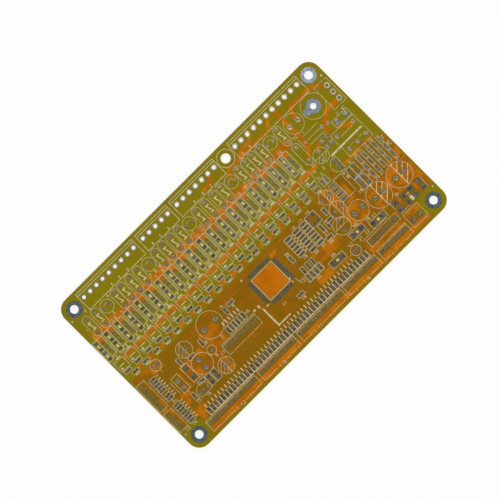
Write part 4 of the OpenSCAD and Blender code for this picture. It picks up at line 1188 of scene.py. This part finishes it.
@dataclass
class Designators:
    """The numbers printed beside the outlines of the components, wherever the face is free.

    Attributes:
        ink: Their ink.
        legends: The legend nodes whose outlines are numbered, each from 1, and the least side of an outline
            that gets a number.
        heights: The heights that a number may have, the best first.
        margin: How far from the board's edge nothing is printed.
        gap: The least distance to a line or to a land.
        longest: The greatest side of an outline that gets a number.
        row: How far apart in Y two outlines of one row may end.
        numerals: The numerals' form.
    """

    ink: ScreenInk
    legends: dict[str, float] = field(default_factory=lambda: {
        "legend_channels": 1.5 * MM, "legend_fuses": 1.5 * MM, "legend_drivers": 3 * MM,
        "legend_logic": 1.5 * MM, "legend_power": 1.5 * MM,
    })
    heights: tuple[float, ...] = (1.3 * MM, 1.1 * MM, 0.95 * MM, 0.8 * MM)
    margin: float = 0.8 * MM
    gap: float = 0.14 * MM
    longest: float = 14 * MM
    row: float = 6 * MM
    numerals: Numerals = Numerals()

    def face(self) -> Occupancy:
        """Marks what the board's face already carries.

        Returns:
            The grid with every land, hole and printed line on it.
        """
        grid = Occupancy(self.margin)
        for node in frame["nodes"]:
            if node.startswith("legend_"):
                grid.take_edges(node)
            if node.endswith(("_lands", "_land", "_barrels", "fiducials", "vias", "legend_sockets")):
                grid.take_boxes(node)
        return grid

    def outlines(self, node: str, least: float) -> np.ndarray:
        """Measures a legend node's outlines.

        Args:
            node: The CAD node's name.
            least: The least side of an outline.

        Returns:
            Low X, low Y, high X and high Y of each, in rows from the top left.
        """
        boxes = Welded.of(node).island_boxes()
        sides = boxes[:, 2:] - boxes[:, :2]
        within = ((boxes[:, None, :2] >= boxes[:, :2]) & (boxes[:, None, 2:] <= boxes[:, 2:])).all(axis=2)
        fits = (sides.min(axis=1) > least) & (sides.max(axis=1) < self.longest)
        kept = boxes[fits & (within.sum(axis=1) == 1)]
        return kept[np.lexsort((kept[:, 0], np.round(-kept[:, 3] / self.row)))]

    @staticmethod
    def spots(box: np.ndarray, size: np.ndarray) -> np.ndarray:
        """Lists the places for a number beside an outline, the best first.

        Args:
            box: The outline's box.
            size: The width and depth that the number takes up.

        Returns:
            Rows of low X, low Y, high X and high Y.
        """
        slide = np.array([0.5, 0.0, 1.0, 0.25, 0.75])
        along = box[:2] + (box[2:] - box[:2] - size) * slide[:, None]
        sides = [np.column_stack([along[:, 0], np.full(len(slide), y)]) for y in (box[1] - size[1], box[3])]
        sides += [np.column_stack([np.full(len(slide), x), along[:, 1]]) for x in (box[2], box[0] - size[0])]
        corners = np.vstack(sides)
        return np.hstack([corners, corners + size])

    def find(self, grid: Occupancy, box: np.ndarray, count: int) -> Optional[Place]:
        """Finds a free place for a number, upright or turned, and takes it.

        Args:
            grid: What the face carries.
            box: The outline's box.
            count: How many numerals the number has.

        Returns:
            The place, or nothing.
        """
        near = box + grid.cell * np.array([-1, -1, 1, 1])
        for height in self.heights:
            clear = self.gap + self.numerals.half * height
            size = np.array([self.numerals.width(count) * height, height]) + 2 * clear
            for turned in (False, True):
                for spot in self.spots(near, size[::-1] if turned else size):
                    cells = grid.window(spot)
                    if cells.size and not cells.any():
                        cells[:] = True
                        x, y = spot[:2] + clear
                        return Place(x + height * turned, y, height, turned)
        return None

    def prints(self) -> np.ndarray:
        """Numbers the outlines.

        Returns:
            A row for each numeral printed: the numeral, its X, Y and height, and its turn in radians.
        """
        grid = self.face()
        rows = []
        for node, least in self.legends.items():
            for number, box in enumerate(self.outlines(node, least), start=1):
                digits = str(number)
                place = self.find(grid, box, len(digits))
                if place is None:
                    continue
                turned = place.turned
                for index, digit in enumerate(digits):
                    step = index * self.numerals.pitch * place.height
                    rows.append((int(digit), place.x + step * (not turned), place.y + step * turned,
                                 place.height, turned * math.pi / 2))
        return np.array(rows)

    def build(self) -> None:
        """Prints all numbers as one piece."""
        prints = self.prints()
        low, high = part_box("legend_channels")
        shapes = []
        for digit in range(10):
            form, quads = self.numerals.form(digit)
            _, x, y, height, turn = (column[:, None] for column in prints[prints[:, 0] == digit].T)
            across, up, level = form.T
            points, faces = copies(np.stack([
                x + height * (across * np.cos(turn) - up * np.sin(turn)),
                y + height * (across * np.sin(turn) + up * np.cos(turn)),
                np.broadcast_to(low.z + (high.z - low.z) * level, (len(x), len(form))),
            ], axis=2), quads)
            shapes.append((points, faces[0]))
        points, quads = joined(shapes)
        LOG.info("numbers printed: %d numerals", len(prints))
        new_piece("printed_numbers", points, [quads], Slot.INK, self.ink.material())


# ---------------------------------------------------------------- the studio


@dataclass
class Studio:
    """The floor, the light and the camera.

    Attributes:
        view_width: The width of the floor that the camera takes in.
        camera_height: The height of the camera above the board.
        sensor: The width of the camera's sensor in millimetres.
        aim: The point of the board at the middle of the view.
        floor_half: Half the side of the floor.
        floor_gap: How far the floor lies below the board.
        floor_white: How much light the floor gives back.
        floor_glow: The share of the floor's own white in what the camera sees.
        corner: How far out along X and Y the floor is white under the corners' holes.
        socket_line: How far up Y it is white under the sockets' holes.
        rim: How far in from the board's edge it is white.
        hole_share: How much of that white shows through the small holes; the rest is painted shade under the
            board.
        shade: The colour painted on the floor under the board, standing in for the light that the laminate
            lets through.
        inlet_white: How much light it gives back under the inlet: painted shade, so that the inlet's holes
            stay dark.
        spare: How far inside the earth land's edge, and outside the inlet's, the floor changes.
        lamp_place: The place of the soft lamp, which looks at the board.
        lamp_side: The lamp's side.
        lamp_power: The lamp's power in watts.
        sky_sides: The brightness of the room.
        sky_crown: Its brightness straight above, where the camera hangs.
        sky_fade: How high on a unit sphere the room starts to dim, and where it is dimmest.
    """

    view_width: float = 226.3 * MM
    camera_height: float = 1.6
    sensor: float = 36.0
    aim: tuple[float, float] = (0.288 * MM, 2.785 * MM)
    floor_half: float = 1.5
    floor_gap: float = 0.02 * MM
    floor_white: float = 0.93
    floor_glow: float = 0.85
    corner: tuple[float, float] = (71 * MM, 36 * MM)
    socket_line: float = 37.5 * MM
    rim: float = 1 * MM
    hole_share: float = 0.12
    shade: Colour = (250, 232, 164)
    inlet_white: float = 0.2
    spare: float = 0.5 * MM
    lamp_place: tuple[float, float, float] = (0.55, 0.75, 1.1)
    lamp_side: float = 0.7
    lamp_power: float = 5.0
    sky_sides: float = 0.92
    sky_crown: float = 0.25
    sky_fade: tuple[float, float] = (0.86, 0.975)

    @staticmethod
    def under(shader: Shader, node: str, spare: float) -> Socket:
        """Wires where the floor lies under a CAD node.

        Args:
            shader: The floor's shader.
            node: The CAD node's name.
            spare: How much wider than the node's box the place is on each side.

        Returns:
            The place's socket: 1 under the node, and 0 elsewhere.
        """
        low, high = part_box(node)
        return shader.maths("MULTIPLY", *(
            shader.maths("COMPARE", axis, (start + end) / 2, (end - start) / 2 + spare)
            for axis, start, end in zip(shader.axes(), low[:2], high[:2])
        ))

    def glow_share(self, shader: Shader) -> Socket:
        """Wires where the floor shows white to the camera: beyond the board, and under its widest holes.

        Elsewhere under the board the white is cut back to the small holes' share, as painted shade.

        Args:
            shader: The floor's shader.

        Returns:
            The share's socket: 1 there, and the small holes' share elsewhere.
        """
        x, y, _ = shader.axes()
        width, depth = (shader.maths("ABSOLUTE", axis) for axis in (x, y))
        corner = shader.maths("MULTIPLY", shader.maths("GREATER_THAN", width, self.corner[0]),
                              shader.maths("GREATER_THAN", depth, self.corner[1]))
        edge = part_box("laminate")[1]
        parts = [
            shader.maths("GREATER_THAN", width, edge.x - self.rim),
            shader.maths("GREATER_THAN", depth, edge.y - self.rim),
            shader.maths("GREATER_THAN", y, self.socket_line),
            corner,
            self.under(shader, "earth_land", -self.spare),
        ]
        # painted shade: under the board's middle the floor's white is held to this share
        share: Source = self.hole_share
        for part in parts:
            share = shader.maths("MAXIMUM", share, part)
        return share

    def floor(self) -> None:
        """Lays a white floor under the board. It keeps the board's shadow, and has painted shade under the
        board, tinted, and darker under the inlet.
        """
        half = self.floor_half
        mesh = bpy.data.meshes.new("floor")
        mesh.from_pydata([(side * half, end * half, -self.floor_gap)
                          for side, end in ((-1, -1), (1, -1), (1, 1), (-1, 1))], [], [(0, 1, 2, 3)])
        shader = Shader("floor")
        glow_share = self.glow_share(shader)
        # painted light: under the board the floor is tinted with the shade colour
        colour = shader.mix(glow_share, linear(*self.shade), linear(255, 255, 255))
        # painted shade: the floor is darker under the inlet, so that its holes look dark
        white = shader.ramp(self.under(shader, "inlet_barrels", self.spare), 0.0, 1.0,
                            self.floor_white, self.inlet_white)
        seen = shader.maths("MULTIPLY", shader.node("LightPath", {}, "Is Camera Ray"), self.floor_glow)
        # painted shade: the camera sees less of the floor's white under the board
        blend = shader.node("MixShader", {
            0: shader.maths("MULTIPLY", seen, glow_share),
            1: shader.surface.outputs[0],
            2: shader.node("Emission", {"Color": colour}),
        })
        shader.feed(shader.tree.nodes["Material Output"].inputs["Surface"], blend)
        mesh.materials.append(shader.finish(Base_Color=shader.tint(colour, white), Roughness=1.0,
                                            Specular_IOR_Level=0.0))
        placed("floor", mesh)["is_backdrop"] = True

    def sky(self) -> None:
        """Lights the room evenly, with a dimmer crown where the camera hangs."""
        world = bpy.data.worlds.new("studio")
        bpy.context.scene.world = world
        world.use_nodes = True
        tree = world.node_tree
        background = tree.nodes["Background"]
        place = tree.nodes.new("ShaderNodeTexCoord")
        split = tree.nodes.new("ShaderNodeSeparateXYZ")
        tree.links.new(place.outputs["Generated"], split.inputs[0])
        fade = tree.nodes.new("ShaderNodeMapRange")
        fade.interpolation_type = "SMOOTHSTEP"
        for index, value in enumerate((*self.sky_fade, self.sky_sides, self.sky_crown), start=1):
            fade.inputs[index].default_value = value
        tree.links.new(split.outputs["Z"], fade.inputs[0])
        tree.links.new(fade.outputs["Result"], background.inputs["Strength"])
        background.inputs["Color"].default_value = (1.0, 1.0, 1.0, 1.0)

    def lamp(self) -> None:
        """Hangs a soft square lamp that looks at the board."""
        light = bpy.data.lights.new("softbox", "AREA")
        light.shape = "SQUARE"
        light.size = self.lamp_side
        light.energy = self.lamp_power
        lamp = placed("softbox", light)
        lamp.location = self.lamp_place
        toward = -np.array(self.lamp_place)
        lamp.rotation_euler = (
            math.acos(-toward[2] / np.linalg.norm(toward)),
            0.0,
            math.atan2(toward[1], toward[0]) - math.pi / 2,
        )

    def camera(self) -> None:
        """Hangs a long-lens camera over the board, turned so that a corner of it points up the view."""
        data = bpy.data.cameras.new("camera")
        data.sensor_width = self.sensor
        data.lens = self.sensor * self.camera_height / self.view_width
        data.clip_start = 0.05
        data.clip_end = 20.0
        camera = placed("camera", data)
        camera.location = (*self.aim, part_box("top_mask")[1].z + self.camera_height)
        camera.rotation_euler = (0.0, 0.0, -math.pi / 4)
        bpy.context.scene.camera = camera

    def build(self) -> None:
        """Sets up the floor, the light, the camera and the plain view settings."""
        self.floor()
        self.sky()
        self.lamp()
        self.camera()
        bpy.context.scene.view_settings.view_transform = "Standard"


def corners(box: Sequence[object]) -> list[list[float]]:
    """Turns a box's two corners into plain lists of numbers."""
    return [[float(value) for value in corner] for corner in box]


def main() -> None:
    """Builds the board's looks in order."""
    logging.basicConfig(level=logging.INFO, format="%(name)s: %(message)s")
    solid_box = corners(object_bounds())
    relief = CopperRelief()
    Board().build()
    Masks(relief=relief.rise).build()
    relief.build()
    TinCrowns().build()
    Designators(ink=ScreenInk("number_ink", (200, 192, 150), (166, 154, 94))).build()
    Studio().build()
    {"cad": solid_box, "visual": corners(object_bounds())}
    LOG.info("board is dressed")


if __name__ == "__main__":
    main()
